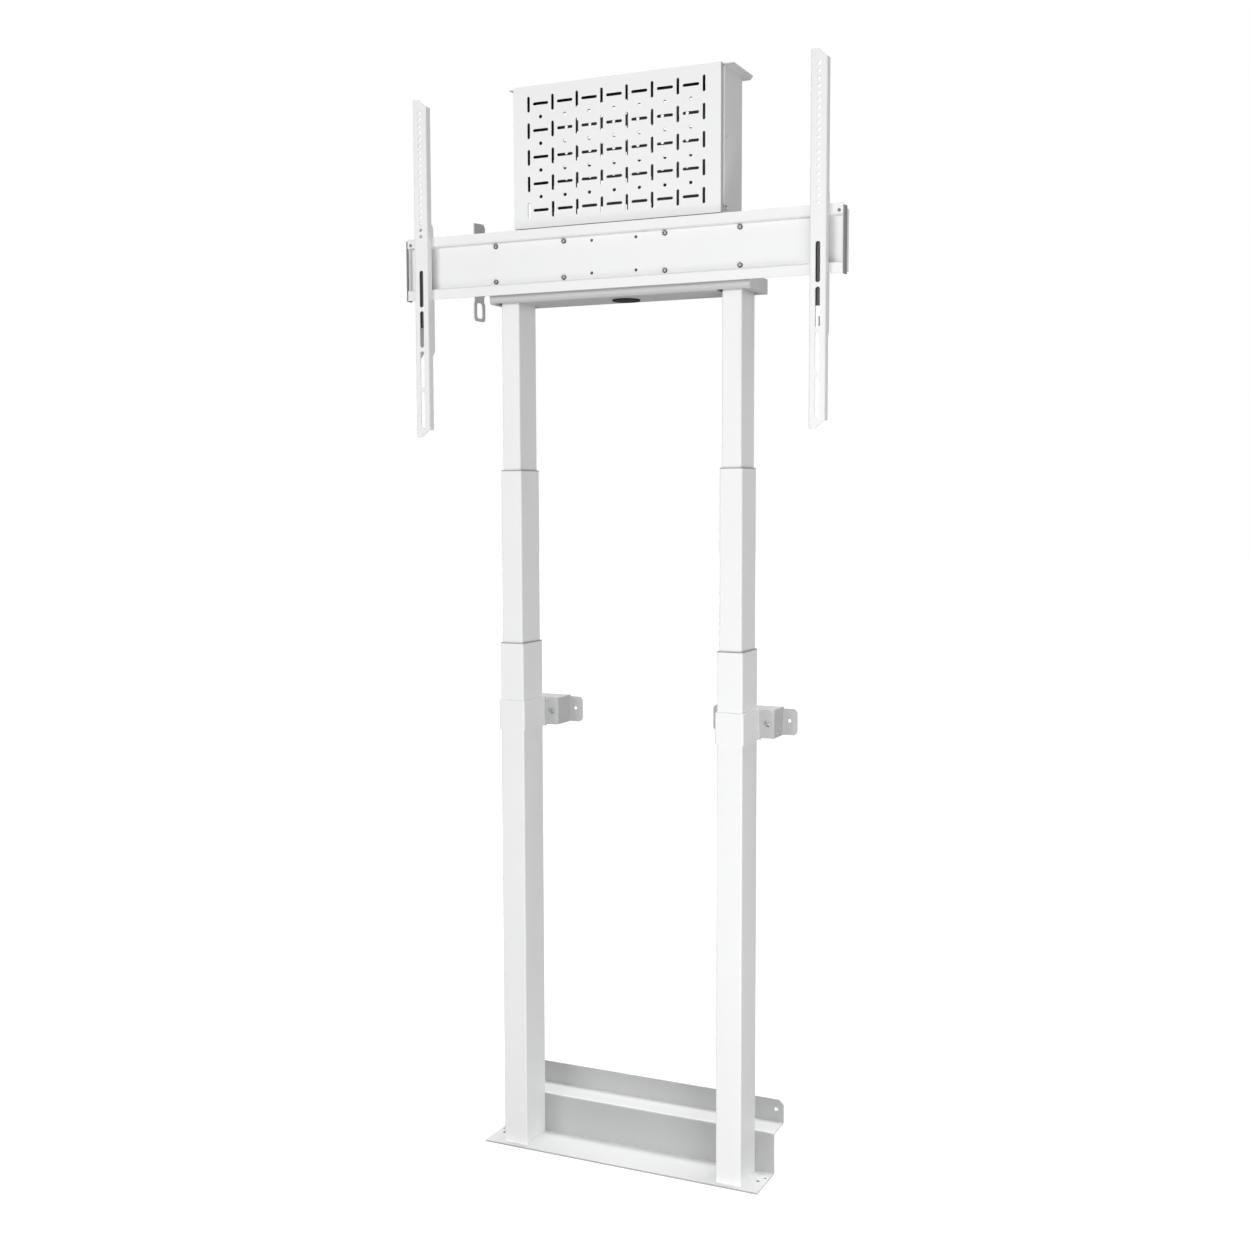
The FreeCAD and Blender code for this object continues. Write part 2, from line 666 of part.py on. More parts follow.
def make_collar(side):
    x = side * COLUMN_X
    half_width = OUTER_WIDTH / 2.0 + SHEET
    half_depth = OUTER_DEPTH / 2.0
    path = [
        (x - BRACKET_WEB, half_depth),
        (x - half_width, half_depth),
        (x - half_width, -half_depth - SHEET),
        (x + half_width, -half_depth - SHEET),
        (x + half_width, half_depth),
        (x + BRACKET_WEB, half_depth),
    ]
    low = BRACKET_BOTTOM - COLLAR_UNDER
    high = BRACKET_TOP + COLLAR_OVER
    ear_front = half_depth - PAST
    ear_back = half_depth + SHEET + PAST
    body = folded(path, SHEET, BEND, "xy", low, high)
    cutters = []
    for end in (-1, 1):
        near = x + end * (half_width + COLLAR_EAR_START)
        far = x + end * (BRACKET_WEB + PAST)
        screw_x = x + end * COLLAR_SCREW
        cutters.append(box(near, far, ear_front, ear_back, low - PAST, BRACKET_BOTTOM))
        cutters.append(box(near, far, ear_front, ear_back, BRACKET_TOP, high + PAST))
        cutters.append(rod_y(COLLAR_SCREW_HOLE, screw_x, bracket_middle(), ear_front, ear_back))
    return without(body, cutters)


def bracket_middle():
    return (BRACKET_BOTTOM + BRACKET_TOP) / 2.0 + BRACKET_SCREW_RISE


def make_wall_bracket(side):
    x = side * COLUMN_X
    front = OUTER_DEPTH / 2.0 + SHEET
    back = WALL_Y - SHEET
    path = [
        (x - BRACKET_TAB, back),
        (x - BRACKET_WEB, back),
        (x - BRACKET_WEB, front),
        (x + BRACKET_WEB, front),
        (x + BRACKET_WEB, back),
        (x + BRACKET_TAB, back),
    ]
    hat = folded(path, SHEET, BEND, "xy", BRACKET_BOTTOM, BRACKET_TOP)
    boss_back = front + SHEET + BRACKET_BOSS_LENGTH
    lid = box(x - BRACKET_WEB, x + BRACKET_WEB, front, WALL_Y, BRACKET_TOP, BRACKET_TOP + SHEET)
    bosses = []
    cutters = []
    for end in (-1, 1):
        screw_x = x + end * COLLAR_SCREW
        z = bracket_middle()
        bosses.append(rod_y(BRACKET_BOSS_RADIUS, screw_x, z, front + SHEET, boss_back))
        cutters.append(rod_y(COLLAR_SCREW_RADIUS, screw_x, z, front - PAST, boss_back + PAST))
        hole_x = x + end * BRACKET_HOLE
        cutters.append(rod_y(BRACKET_HOLE_RADIUS, hole_x, z, back - PAST, WALL_Y + PAST))
        for corner_z, way in ((BRACKET_BOTTOM, 1), (BRACKET_TOP, -1)):
            tip = x + end * BRACKET_TAB
            corner = [
                (tip + end, corner_z - way),
                (tip - end * BRACKET_CHAMFER, corner_z - way),
                (tip - end * BRACKET_CHAMFER_KNEE, corner_z + way * BRACKET_CHAMFER_KNEE),
                (tip + end, corner_z + way * BRACKET_CHAMFER),
            ]
            cutters.append(prism(corner, "xz", back - PAST, WALL_Y + PAST))
    return without(fused([hat, lid] + bosses), cutters)


def button_screw(x, z, face, head_size, shank_radius, length):
    """Button-head screw along +Y; its head lies in front of the face."""
    head_radius, head_height = head_size
    head = rod_y(head_radius, x, z, face - head_height, face)
    rim = [edge for edge in head.Edges if abs(edge.CenterOfMass.y - face + head_height) < SAME_PLACE]
    head = head.makeFillet(head_height * HEAD_DOME_SHARE, rim)
    socket_depth = head_height * HEAD_SOCKET_DEPTH_SHARE
    socket = rod_y(head_radius * HEAD_SOCKET_SHARE, x, z, face - head_height, face - head_height + socket_depth)
    shank = rod_y(shank_radius, x, z, face, face + length)
    return without(fused([head, shank]), [socket])


def make_collar_screws():
    face = OUTER_DEPTH / 2.0
    screws = []
    for side in (-1, 1):
        for end in (-1, 1):
            x = side * COLUMN_X + end * COLLAR_SCREW
            shank = (COLLAR_SCREW_RADIUS, COLLAR_SCREW_LENGTH)
            screws.append(button_screw(x, bracket_middle(), face, COLLAR_SCREW_HEAD, *shank))
    return screws


def make_middle_pipe(side):
    x = side * COLUMN_X
    size = grown(MIDDLE, -TUBE_WALL)
    plate = rounded_block(x, size[0], size[1], TUBE_CORNER - TUBE_WALL, MIDDLE_BOTTOM, BRIDGE_TOP)
    pipe = rod_z(PIPE_RADIUS, x, 0.0, BRIDGE_TOP, UPPER_NUT_BOTTOM)
    bore = rod_z(PIPE_RADIUS - PIPE_WALL, x, 0.0, BRIDGE_TOP, UPPER_NUT_BOTTOM + PAST)
    bearing = rod_z(LOWER_SPINDLE_RADIUS + RUNNING_FIT, x, 0.0, MIDDLE_BOTTOM - PAST, BRIDGE_TOP + PAST)
    return without(fused([plate, pipe]), [bore, bearing])


def make_lower_spindle(side):
    x = side * COLUMN_X
    shaft = rod_z(LOWER_SPINDLE_RADIUS, x, 0.0, LOWER_SPINDLE_BOTTOM, LOWER_SPINDLE_TOP)
    collar = LOWER_SPINDLE_RADIUS + SPINDLE_COLLAR
    under_top = MIDDLE_BOTTOM - GAP
    over_low = BRIDGE_TOP + GAP
    under = rod_z(collar, x, 0.0, under_top - SPINDLE_COLLAR_HEIGHT, under_top)
    over = rod_z(collar, x, 0.0, over_low, over_low + SPINDLE_COLLAR_HEIGHT)
    bore = rod_z(SPINDLE_BORE, x, 0.0, LOWER_SPINDLE_BOTTOM - PAST, LOWER_SPINDLE_TOP + PAST)
    return without(fused([shaft, under, over]), [bore])


def make_upper_spindle(side):
    x = side * COLUMN_X
    shaft = rod_z(UPPER_SPINDLE_RADIUS, x, 0.0, UPPER_SPINDLE_BOTTOM, GEARBOX_TOP - SPINDLE_BELOW_LID)
    key_top = UPPER_SPINDLE_BOTTOM + KEY_LENGTH
    key = rod_z(SPINDLE_BORE - RUNNING_FIT, x, 0.0, UPPER_SPINDLE_BOTTOM, key_top)
    return fused([shaft, key])


def make_worm_wheel(side):
    x = side * COLUMN_X
    low = DRIVE_Z - WHEEL_WIDTH / 2.0
    disc = rod_z(WHEEL_RADIUS, x, 0.0, low, low + WHEEL_WIDTH)
    return without(disc, [rod_z(UPPER_SPINDLE_RADIUS, x, 0.0, low - PAST, low + WHEEL_WIDTH + PAST)])


def gearbox_inner_face(side):
    return side * (COLUMN_X - GEARBOX_HALF)


def make_worm(side):
    middle = side * COLUMN_X
    half = WORM_LENGTH / 2.0
    shaft_end = gearbox_inner_face(side) - side * MOTOR_SHAFT_DEPTH
    thread = rod_x(WORM_RADIUS, WORM_Y, DRIVE_Z, middle - half, middle + half)
    shaft = rod_x(MOTOR_SHAFT_RADIUS, WORM_Y, DRIVE_Z, shaft_end, middle + side * (half + WORM_TAIL))
    return fused([thread, shaft])


def make_gearbox(side):
    x = side * COLUMN_X
    back = WORM_Y + WORM_RADIUS + GEARBOX_BACK_WALL
    half = WORM_LENGTH / 2.0 + GAP
    body = box(x - GEARBOX_HALF, x + GEARBOX_HALF, GEARBOX_FRONT, back, BEAM_TOP, GEARBOX_TOP)
    low = DRIVE_Z - WHEEL_WIDTH / 2.0 - GAP
    high = DRIVE_Z + WHEEL_WIDTH / 2.0 + GAP
    spindle_end = GEARBOX_TOP - SPINDLE_BELOW_LID + GAP
    shaft_radius = MOTOR_SHAFT_RADIUS + RUNNING_FIT
    cutters = [
        rod_z(WHEEL_RADIUS + WHEEL_ROOM, x, 0.0, low, high),
        rod_x(WORM_RADIUS + SHAFT_ROOM, WORM_Y, DRIVE_Z, x - half, x + half),
        rod_z(UPPER_SPINDLE_RADIUS + RUNNING_FIT, x, 0.0, BEAM_TOP - PAST, spindle_end),
        rod_x(shaft_radius, WORM_Y, DRIVE_Z, gearbox_inner_face(side) - side, x + side * (half + WORM_TAIL)),
    ]
    return without(body, cutters)


def make_motor(side):
    face = gearbox_inner_face(side)
    end = face - side * MOTOR_LENGTH
    can = rod_x(MOTOR_RADIUS, WORM_Y, DRIVE_Z, face, end)
    rims = [edge for edge in can.Edges if abs(edge.CenterOfMass.x - end) < SAME_PLACE]
    can = can.makeFillet(MOTOR_RIM, rims)
    shaft_radius = MOTOR_SHAFT_RADIUS + RUNNING_FIT
    pocket_end = face - side * (MOTOR_SHAFT_DEPTH + PAST)
    return without(can, [rod_x(shaft_radius, WORM_Y, DRIVE_Z, face + side, pocket_end)])


def make_inner_tube(side):
    x = side * COLUMN_X
    tube = make_tube(x, INNER, INNER_BOTTOM, HEAD_PLATE_BOTTOM)
    plate = rounded_block(x, *HEAD_PLATE_SIZE, TUBE_CORNER, HEAD_PLATE_BOTTOM, BEAM_CEILING)
    bore = rod_z(UPPER_SPINDLE_RADIUS + SHAFT_ROOM, x, 0.0, HEAD_PLATE_BOTTOM - PAST, BEAM_CEILING + PAST)
    return without(fused([tube, plate]), [bore])


def with_front_bend(block, radius):
    """Rounds the lower front edge of a block along X."""
    low = block.BoundBox.ZMin
    front = block.BoundBox.YMin
    edges = []
    for edge in block.Edges:
        middle = edge.CenterOfMass
        if abs(middle.z - low) < SAME_PLACE and abs(middle.y - front) < SAME_PLACE:
            edges.append(edge)
    return block.makeFillet(radius, edges)


def tube_openings():
    opening = grown(OUTER, TUBE_OPENING_GAP)
    low = BEAM_BOTTOM - PAST
    high = BEAM_BOTTOM + BEAM_BEND + PAST
    return [
        rounded_block(side * COLUMN_X, opening[0], opening[1], TUBE_CORNER, low, high)
        for side in (-1, 1)
    ]


def make_beam_tray():
    """Top, four walls and a front flange; the front wall bends under with a wide radius."""
    half = BEAM_LENGTH / 2.0
    inner = half - BEAM_SHEET
    front = BEAM_FRONT + BEAM_SHEET
    back = BEAM_BACK - BEAM_SHEET
    flange_end = BEAM_FRONT + BEAM_FLANGE
    floor_top = BEAM_BOTTOM + BEAM_SHEET
    outside = box(-half, half, BEAM_FRONT, BEAM_BACK, BEAM_BOTTOM, BEAM_TOP)
    hollow = box(-inner, inner, front, back, floor_top, BEAM_CEILING)
    cutters = [
        with_front_bend(hollow, BEAM_BEND - BEAM_SHEET),
        box(-inner, inner, flange_end, back, BEAM_BOTTOM - PAST, floor_top + PAST),
    ]
    cutters += tube_openings()
    for side in (-1, 1):
        x = side * COLUMN_X
        cutters.append(rod_z(UPPER_SPINDLE_RADIUS + SHAFT_ROOM, x, 0.0, BEAM_CEILING - PAST, BEAM_TOP + PAST))
    return without(with_front_bend(outside, BEAM_BEND), cutters)


def make_beam_bottom():
    inner = BEAM_LENGTH / 2.0 - BEAM_SHEET
    front = BEAM_FRONT + BEAM_FLANGE
    back = BEAM_BACK - BEAM_SHEET
    top = BEAM_BOTTOM + BEAM_SHEET
    plate = box(-inner, inner, front, back, BEAM_BOTTOM, top)
    cutters = [rod_z(GROMMET_RADIUS - GROMMET_LIP, 0.0, GROMMET_Y, BEAM_BOTTOM - PAST, top + PAST)]
    slot_near, slot_far = BEAM_SLOT_X
    cutters += tube_openings()
    for side in (-1, 1):
        cutters.append(box(side * slot_near, side * slot_far, *BEAM_SLOT_Y, BEAM_BOTTOM - PAST, top + PAST))
    return without(plate, cutters)


def make_grommet():
    top = BEAM_BOTTOM + BEAM_SHEET
    under = BEAM_BOTTOM - GROMMET_FLANGE
    neck = GROMMET_RADIUS - GROMMET_LIP
    bore = neck - GROMMET_WALL
    bead_top = top + GROMMET_BEAD_HEIGHT
    skin_top = BEAM_BOTTOM - GROMMET_SKIN[0]
    skin_low = BEAM_BOTTOM - GROMMET_SKIN[1]
    flange = rod_z(GROMMET_RADIUS, 0.0, GROMMET_Y, under, BEAM_BOTTOM)
    wall = rod_z(neck, 0.0, GROMMET_Y, BEAM_BOTTOM, top)
    upper = rod_z(neck + GROMMET_BEAD, 0.0, GROMMET_Y, top, bead_top)
    hollow = rod_z(bore, 0.0, GROMMET_Y, skin_top, bead_top + PAST)
    pit = rod_z(bore, 0.0, GROMMET_Y, under - PAST, skin_low)
    reach = bore - GROMMET_WALL
    half = GROMMET_SLIT / 2.0
    slits = [
        box(-reach, reach, GROMMET_Y - half, GROMMET_Y + half, under - PAST, BEAM_BOTTOM),
        box(-half, half, GROMMET_Y - reach, GROMMET_Y + reach, under - PAST, BEAM_BOTTOM),
    ]
    return without(fused([flange, wall, upper]), [hollow, pit] + slits)


def make_crossbar():
    path = [
        (BAR_LIP_Y, BAR_BOTTOM),
        (BAR_LIP_Y, BAR_JOG_LOW),
        (BAR_WEB_Y, BAR_JOG_LOW),
        (BAR_WEB_Y, BAR_JOG_HIGH),
        (BAR_LIP_Y, BAR_JOG_HIGH),
        (BAR_LIP_Y, BAR_TOP),
    ]
    half = BAR_LENGTH / 2.0
    pieces = [folded(path, -BAR_SHEET, BAR_BEND, "yz", -half, half)]
    flange_low = BAR_BOTTOM + END_FLANGE_RISE
    flange_high = BAR_TOP - END_FLANGE_DROP
    web = (BAR_WEB_Y - PAST, BAR_BACK + PAST)
    cutters = []
    for side in (-1, 1):
        end = side * half
        near = end - side * BAR_SHEET
        pieces.append(box(near, end, BAR_WEB_Y, END_FLANGE_BACK, flange_low, flange_high))
        pieces.append(box(near, end, END_FLANGE_FRONT, BAR_WEB_Y, BAR_JOG_LOW, BAR_JOG_HIGH))
        for x in BAR_SCREW_X:
            for z in (BAR_SCREW_LOW, BAR_SCREW_HIGH):
                cutters.append(rod_y(BAR_SCREW_HOLE, side * x, BAR_BOTTOM + z, *web))
        for z in (BAR_HOLE_LOW, BAR_HOLE_HIGH):
            cutters.append(rod_y(BAR_HOLE_RADIUS, side * BAR_HOLE_X, BAR_BOTTOM + z, *web))
        stud_x = side * (half - END_STUD_INSET)
        stud_z = BAR_TOP - END_STUD_DROP
        lip_back = BAR_LIP_Y + BAR_SHEET
        cutters.append(rod_y(END_STUD_RADIUS, stud_x, stud_z, BAR_LIP_Y - PAST, lip_back + PAST))
    return without(fused(pieces), cutters)


def make_crossbar_screws():
    screws = []
    for side in (-1, 1):
        for x in BAR_SCREW_X:
            for z in (BAR_SCREW_LOW, BAR_SCREW_HIGH):
                shank = (BAR_SCREW_RADIUS, BAR_SCREW_LENGTH)
                screws.append(button_screw(side * x, BAR_BOTTOM + z, BAR_WEB_Y, BAR_SCREW_HEAD, *shank))
    return screws


def make_end_plate(side):
    near = side * BAR_LENGTH / 2.0
    far = near + side * END_PLATE
    plate_low = BAR_BOTTOM - END_PLATE_UNDER
    plate = box(near, far, BAR_LIP_Y, END_PLATE_BACK, plate_low, BAR_TOP - END_PLATE_DROP)
    lip_back = BAR_LIP_Y + BAR_SHEET
    tab_low = BAR_JOG_HIGH + BAR_SHEET + END_TAB_RISE
    tab_end = near - side * END_TAB_LENGTH
    tab = box(tab_end, near, lip_back, lip_back + END_TAB_SHEET, tab_low, BAR_TOP - END_TAB_DROP)
    stud_x = near - side * END_STUD_INSET
    stud_z = BAR_TOP - END_STUD_DROP
    stud = rod_y(END_STUD_RADIUS, stud_x, stud_z, BAR_LIP_Y, lip_back)
    head = rod_y(END_STUD_RADIUS + END_HEAD_RIM, stud_x, stud_z, BAR_LIP_Y - END_HEAD_HEIGHT, BAR_LIP_Y)
    return fused([plate, tab, stud, head])


def bracket_screw_bosses(x):
    bosses = []
    cutters = []
    back = BAR_BACK + BAR_SHEET
    boss_back = back + BAR_BOSS_LENGTH
    for z in (BAR_SCREW_LOW, BAR_SCREW_HIGH):
        bosses.append(rod_y(BAR_BOSS_RADIUS, x, BAR_BOTTOM + z, back, boss_back))
        cutters.append(rod_y(BAR_SCREW_RADIUS, x, BAR_BOTTOM + z, BAR_BACK - PAST, boss_back + PAST))
    return bosses, cutters


def make_upright(side):
    x = side * BAR_SCREW_X[1]
    path = [(UPRIGHT_FOOT_BACK, BEAM_TOP), (BAR_BACK, BEAM_TOP), (BAR_BACK, BAR_TOP - UPRIGHT_DROP)]
    body = folded(path, -BAR_SHEET, BEND, "yz", x - UPRIGHT_WIDTH / 2.0, x + UPRIGHT_WIDTH / 2.0)
    bosses, cutters = bracket_screw_bosses(x)
    return without(fused([body] + bosses), cutters)


def make_box_bracket(side):
    x = side * BAR_SCREW_X[0]
    path = [
        (UPRIGHT_FOOT_BACK, BEAM_TOP),
        (BAR_BACK, BEAM_TOP),
        (BAR_BACK, BOX_BOTTOM),
        (BOX_FOOT_BACK, BOX_BOTTOM),
    ]
    body = folded(path, -BAR_SHEET, BEND, "yz", x - UPRIGHT_WIDTH / 2.0, x + UPRIGHT_WIDTH / 2.0)
    under = BOX_BOTTOM - BAR_SHEET
    web_back = BAR_BACK + BAR_SHEET
    gusset = [(web_back, under), (GUSSET_BACK, under), (web_back, under - GUSSET_HEIGHT)]
    rib_x = side * (BAR_SCREW_X[0] - GUSSET_INSET)
    rib = prism(gusset, "yz", rib_x, rib_x + side * BAR_SHEET)
    bosses, cutters = bracket_screw_bosses(x)
    return without(fused([body, rib] + bosses), cutters)


def rounded_window(x, half, width, height, corner, middle, low):
    """Block along X with four rounded edges; width is its size in Y, height its size in Z."""
    block = box(x - half, x + half, middle - width / 2.0, middle + width / 2.0, low, low + height)
    along = [edge for edge in block.Edges if abs(edge.tangentAt(0.0).x) > 0.5]
    return block.makeFillet(corner, along)


def make_hook_plate():
    half = BAR_SHEET / 2.0
    low = BAR_BOTTOM + HOOK_PLATE_INSET
    high = BAR_TOP - HOOK_PLATE_INSET
    ring_back = HOOK_RING_FRONT + HOOK_RING_WIDTH
    ring_middle = (HOOK_RING_FRONT + ring_back) / 2.0
    ring_top = HOOK_RING_BOTTOM + HOOK_RING_HEIGHT
    neck_front = HOOK_RING_FRONT + HOOK_NECK_INSET
    neck_back = ring_back - HOOK_NECK_INSET
    neck_low = ring_top - HOOK_RING_CORNER
    path = [
        (HOOK_PLATE_FRONT, HOOK_PLATE_TOP - HOOK_PLATE_SLOPE),
        (0.0, HOOK_PLATE_TOP),
        (HOOK_PLATE_BACK - HOOK_PLATE_CHAMFER, HOOK_PLATE_TOP),
        (HOOK_PLATE_BACK, HOOK_PLATE_TOP - HOOK_PLATE_CHAMFER),
        (HOOK_PLATE_BACK, low + HOOK_PLATE_CHAMFER),
        (neck_back, low),
        (neck_back, neck_low),
        (neck_front, neck_low),
        (neck_front, low),
        (BAR_BACK, low),
        (BAR_BACK, high),
        (HOOK_PLATE_FRONT, high),
    ]
    plate = prism(path, "yz", HOOK_PLATE_X - half, HOOK_PLATE_X + half)
    rim = rounded_window(
        HOOK_PLATE_X, half, HOOK_RING_WIDTH, HOOK_RING_HEIGHT, HOOK_RING_CORNER, ring_middle, HOOK_RING_BOTTOM
    )
    hole_low = HOOK_RING_BOTTOM + HOOK_RING_RIM
    hole_width, hole_height = HOOK_RING_HOLE
    hole = rounded_window(
        HOOK_PLATE_X, half + PAST, hole_width, hole_height, HOOK_RING_HOLE_CORNER, ring_middle, hole_low
    )
    flange_end = HOOK_PLATE_X + UPRIGHT_WIDTH
    flange_low = low + HOOK_FLANGE_INSET
    flange_high = high - HOOK_FLANGE_INSET
    flange = box(HOOK_PLATE_X + half, flange_end, BAR_BACK, BAR_BACK + BAR_SHEET, flange_low, flange_high)
    return without(fused([plate, rim, flange]), [hole])


def vents(y0, y1, rise=0.0):
    cutters = []
    first_x = -VENT_PITCH_X * (VENT_COLUMNS - 1) / 2.0
    for row in range(VENT_ROWS):
        z = VENT_TOP + rise - row * VENT_PITCH_Z
        for column in range(VENT_COLUMNS):
            x = first_x + column * VENT_PITCH_X
            cutters.append(stadium(x, z, VENT_SLOT_UPRIGHT, VENT_WIDTH, True, y0, y1))
            if column == VENT_COLUMNS - 1:
                continue
            between = x + VENT_PITCH_X / 2.0
            cutters.append(stadium(between, z, VENT_SLOT_ACROSS, VENT_WIDTH, False, y0, y1))
            if row < VENT_ROWS - 1:
                below = z - VENT_PITCH_Z / 2.0
                cutters.append(rod_y(VENT_HOLE_RADIUS, between, below, y0, y1))
    return cutters


def make_media_panel():
    back = PANEL_FRONT + PANEL_RETURN
    ear_back = PANEL_FRONT + PANEL_EAR
    ear_top = EDGE_BOTTOM - PANEL_EAR_CLEAR
    inside = PANEL_FRONT + PANEL_SHEET
    front = box(-PANEL_HALF, PANEL_HALF, PANEL_FRONT, inside, PANEL_BOTTOM, PANEL_TOP)
    top = box(-PANEL_HALF, PANEL_HALF, inside, back, PANEL_TOP - PANEL_SHEET, PANEL_TOP)
    pieces = [front, top]
    cutters = vents(PANEL_FRONT - PAST, inside + PAST)
    for side in (-1, 1):
        pieces.append(
            box(side * BOX_INNER, side * PANEL_HALF, inside, back, PANEL_BOTTOM, PANEL_TOP - PANEL_SHEET)
        )
        pieces.append(box(side * BOX_INNER, side * PANEL_HALF, back, ear_back, PANEL_BOTTOM, ear_top))
        cutters.append(
            rod_x(PIN_RADIUS + RUNNING_FIT, HINGE_Y, HINGE_Z, side * (BOX_INNER - PAST), side * (PANEL_HALF + PAST))
        )
    return without(fused(pieces), cutters)


def make_media_box():
    sheet = PANEL_SHEET
    top = PANEL_TOP
    inner_back = BOX_BACK - sheet
    floor_top = BOX_BOTTOM + sheet
    outside = box(-PANEL_HALF, PANEL_HALF, BOX_FRONT, BOX_BACK, BOX_BOTTOM, top)
    hollow = box(-BOX_INNER, BOX_INNER, BOX_FRONT - PAST, inner_back, floor_top, top - sheet)
    shell = without(outside, [hollow])
    pieces = [shell]
    cutters = vents(inner_back - PAST, BOX_BACK + PAST, BACK_VENT_RISE)
    port_low, port_high = (BAR_BOTTOM + rise for rise in SIDE_PORT_RISES)
    cutters.append(box(-PANEL_HALF - PAST, -BOX_INNER + PAST, *SIDE_PORT_Y, port_low, port_high))
    ear_outer = BOX_INNER - GAP
    ear_inner = ear_outer - HINGE_EAR
    ear_low = HINGE_Z - HINGE_EAR_RADIUS
    ear_high = HINGE_Z + HINGE_EAR_RADIUS
    ear_root = BOX_FRONT + HINGE_EAR_DEPTH
    edge_front = BOX_FRONT - EDGE_REACH
    edge_top = top - sheet - PAST
    for side in (-1, 1):
        slanted = [
            (side * PANEL_HALF, BOX_FRONT),
            (side * (PANEL_HALF - EDGE_INSET), edge_front),
            (side * (BOX_INNER - EDGE_INSET), edge_front),
            (side * BOX_INNER, BOX_FRONT),
        ]
        pieces.append(prism(slanted, "xy", EDGE_BOTTOM, edge_top))
        pieces.append(box(side * ear_inner, side * ear_outer, HINGE_Y, BOX_FRONT, ear_low, ear_high))
        pieces.append(rod_x(HINGE_EAR_RADIUS, HINGE_Y, HINGE_Z, side * ear_inner, side * ear_outer))
        pieces.append(box(side * ear_inner, side * BOX_INNER, BOX_FRONT, ear_root, ear_low, ear_high))
        for rise in LUG_RISES:
            z = BAR_BOTTOM + rise
            pieces.append(rod_x(LUG_RADIUS, LUG_Y, z, side * PANEL_HALF, side * (PANEL_HALF + LUG_REACH)))
        cutters.append(rod_x(PIN_RADIUS, HINGE_Y, HINGE_Z, side * (ear_inner - PAST), side * (ear_outer + HINGE_PIN_PAST)))
    return without(fused(pieces), cutters)


def make_panel_pins():
    pins = []
    ear_inner = BOX_INNER - GAP - HINGE_EAR
    for side in (-1, 1):
        pin = rod_x(PIN_RADIUS, HINGE_Y, HINGE_Z, side * ear_inner, side * (PANEL_HALF + HINGE_PIN_PAST))
        head_end = side * (ear_inner - HINGE_HEAD)
        head = rod_x(HINGE_HEAD_RADIUS, HINGE_Y, HINGE_Z, head_end, side * ear_inner)
        pins.append(fused([pin, head]))
    return pins


def make_cover():
    half = COVER_LENGTH / 2.0
    outline = [
        (-half, COVER_FRONT),
        (half, COVER_FRONT),
        (half, COVER_BACK - COVER_CORNER_ALONG),
        (half - COVER_CORNER_ACROSS, COVER_BACK),
        (-half + COVER_CORNER_ACROSS, COVER_BACK),
        (-half, COVER_BACK - COVER_CORNER_ALONG),
    ]
    return prism(outline, "xy", PANEL_TOP, PANEL_TOP + COVER_SHEET)


def make_control_case():
    front = BAR_BACK
    back = front + CASE_DEPTH
    wall = CASE_WALL
    port_front, port_back = front + INLET_INSET, back - INLET_INSET
    port_low, port_high = CASE_LOW + INLET_RISE, CASE_HIGH - INLET_RISE
    shell = box(-CASE_HALF, CASE_HALF, front, back, CASE_LOW, CASE_HIGH)
    flange_low, flange_high = (BAR_BOTTOM + rise for rise in CASE_FLANGE_RISES)
    flange = box(-CASE_FLANGE_HALF, CASE_FLANGE_HALF, front, front + wall, flange_low, flange_high)
    inside = (-CASE_HALF + wall, CASE_HALF - wall, front + wall, back - wall)
    cutters = [
        box(*inside, CASE_LOW + wall, CASE_HIGH - wall),
        box(CASE_HALF - wall - PAST, CASE_HALF + PAST, port_front, port_back, port_low, port_high),
    ]
    return without(fused([shell, flange]), cutters)


def make_control_board():
    y = BAR_BACK + CASE_WALL
    low = CASE_LOW + CASE_WALL
    high = CASE_HIGH - CASE_WALL
    face = y + POST_LENGTH + BOARD_SHEET
    board = box(*BOARD_X, y + POST_LENGTH, face, low + BOARD_MARGIN, high - BOARD_MARGIN)
    post_x = (BOARD_X[0] + POST_INSET, BOARD_X[1] - POST_INSET)
    post_z = (low + POST_RISE, high - POST_RISE)
    posts = [rod_y(POST_RADIUS, x, z, y, y + POST_LENGTH) for x in post_x for z in post_z]
    chips = [box(*across, face, face + height, low + rises[0], low + rises[1]) for across, height, rises in CHIPS]
    return fused([board] + posts + chips)


def make_mains_inlet():
    front = BAR_BACK + INLET_INSET
    back = BAR_BACK + CASE_DEPTH - INLET_INSET
    low = CASE_LOW + INLET_RISE
    high = CASE_HIGH - INLET_RISE
    middle_y = (front + back) / 2.0
    middle_z = (low + high) / 2.0
    rim_y = (front - INLET_RIM[0], back + INLET_RIM[0])
    rim_z = (low - INLET_RIM[1], high + INLET_RIM[1])
    socket_y = (middle_y - SOCKET_HALF, middle_y + SOCKET_HALF)
    socket_z = (low + SOCKET_MARGIN, high - SOCKET_MARGIN)
    body = box(CASE_HALF - INLET_DEPTH, CASE_HALF, front, back, low, high)
    rim = box(CASE_HALF, CASE_HALF + INLET_RIM_SHEET, *rim_y, *rim_z)
    socket = box(CASE_HALF - SOCKET_DEPTH, CASE_HALF + INLET_RIM_SHEET + PAST, *socket_y, *socket_z)
    pins = []
    for y_offset, z_offset in BLADES:
        blade_y = (middle_y + y_offset - BLADE_HALF[0], middle_y + y_offset + BLADE_HALF[0])
        blade_z = (middle_z + z_offset - BLADE_HALF[1], middle_z + z_offset + BLADE_HALF[1])
        pins.append(box(CASE_HALF - SOCKET_DEPTH - PAST, CASE_HALF - BLADE_BACK, *blade_y, *blade_z))
    return fused([without(fused([body, rim]), [socket])] + pins)


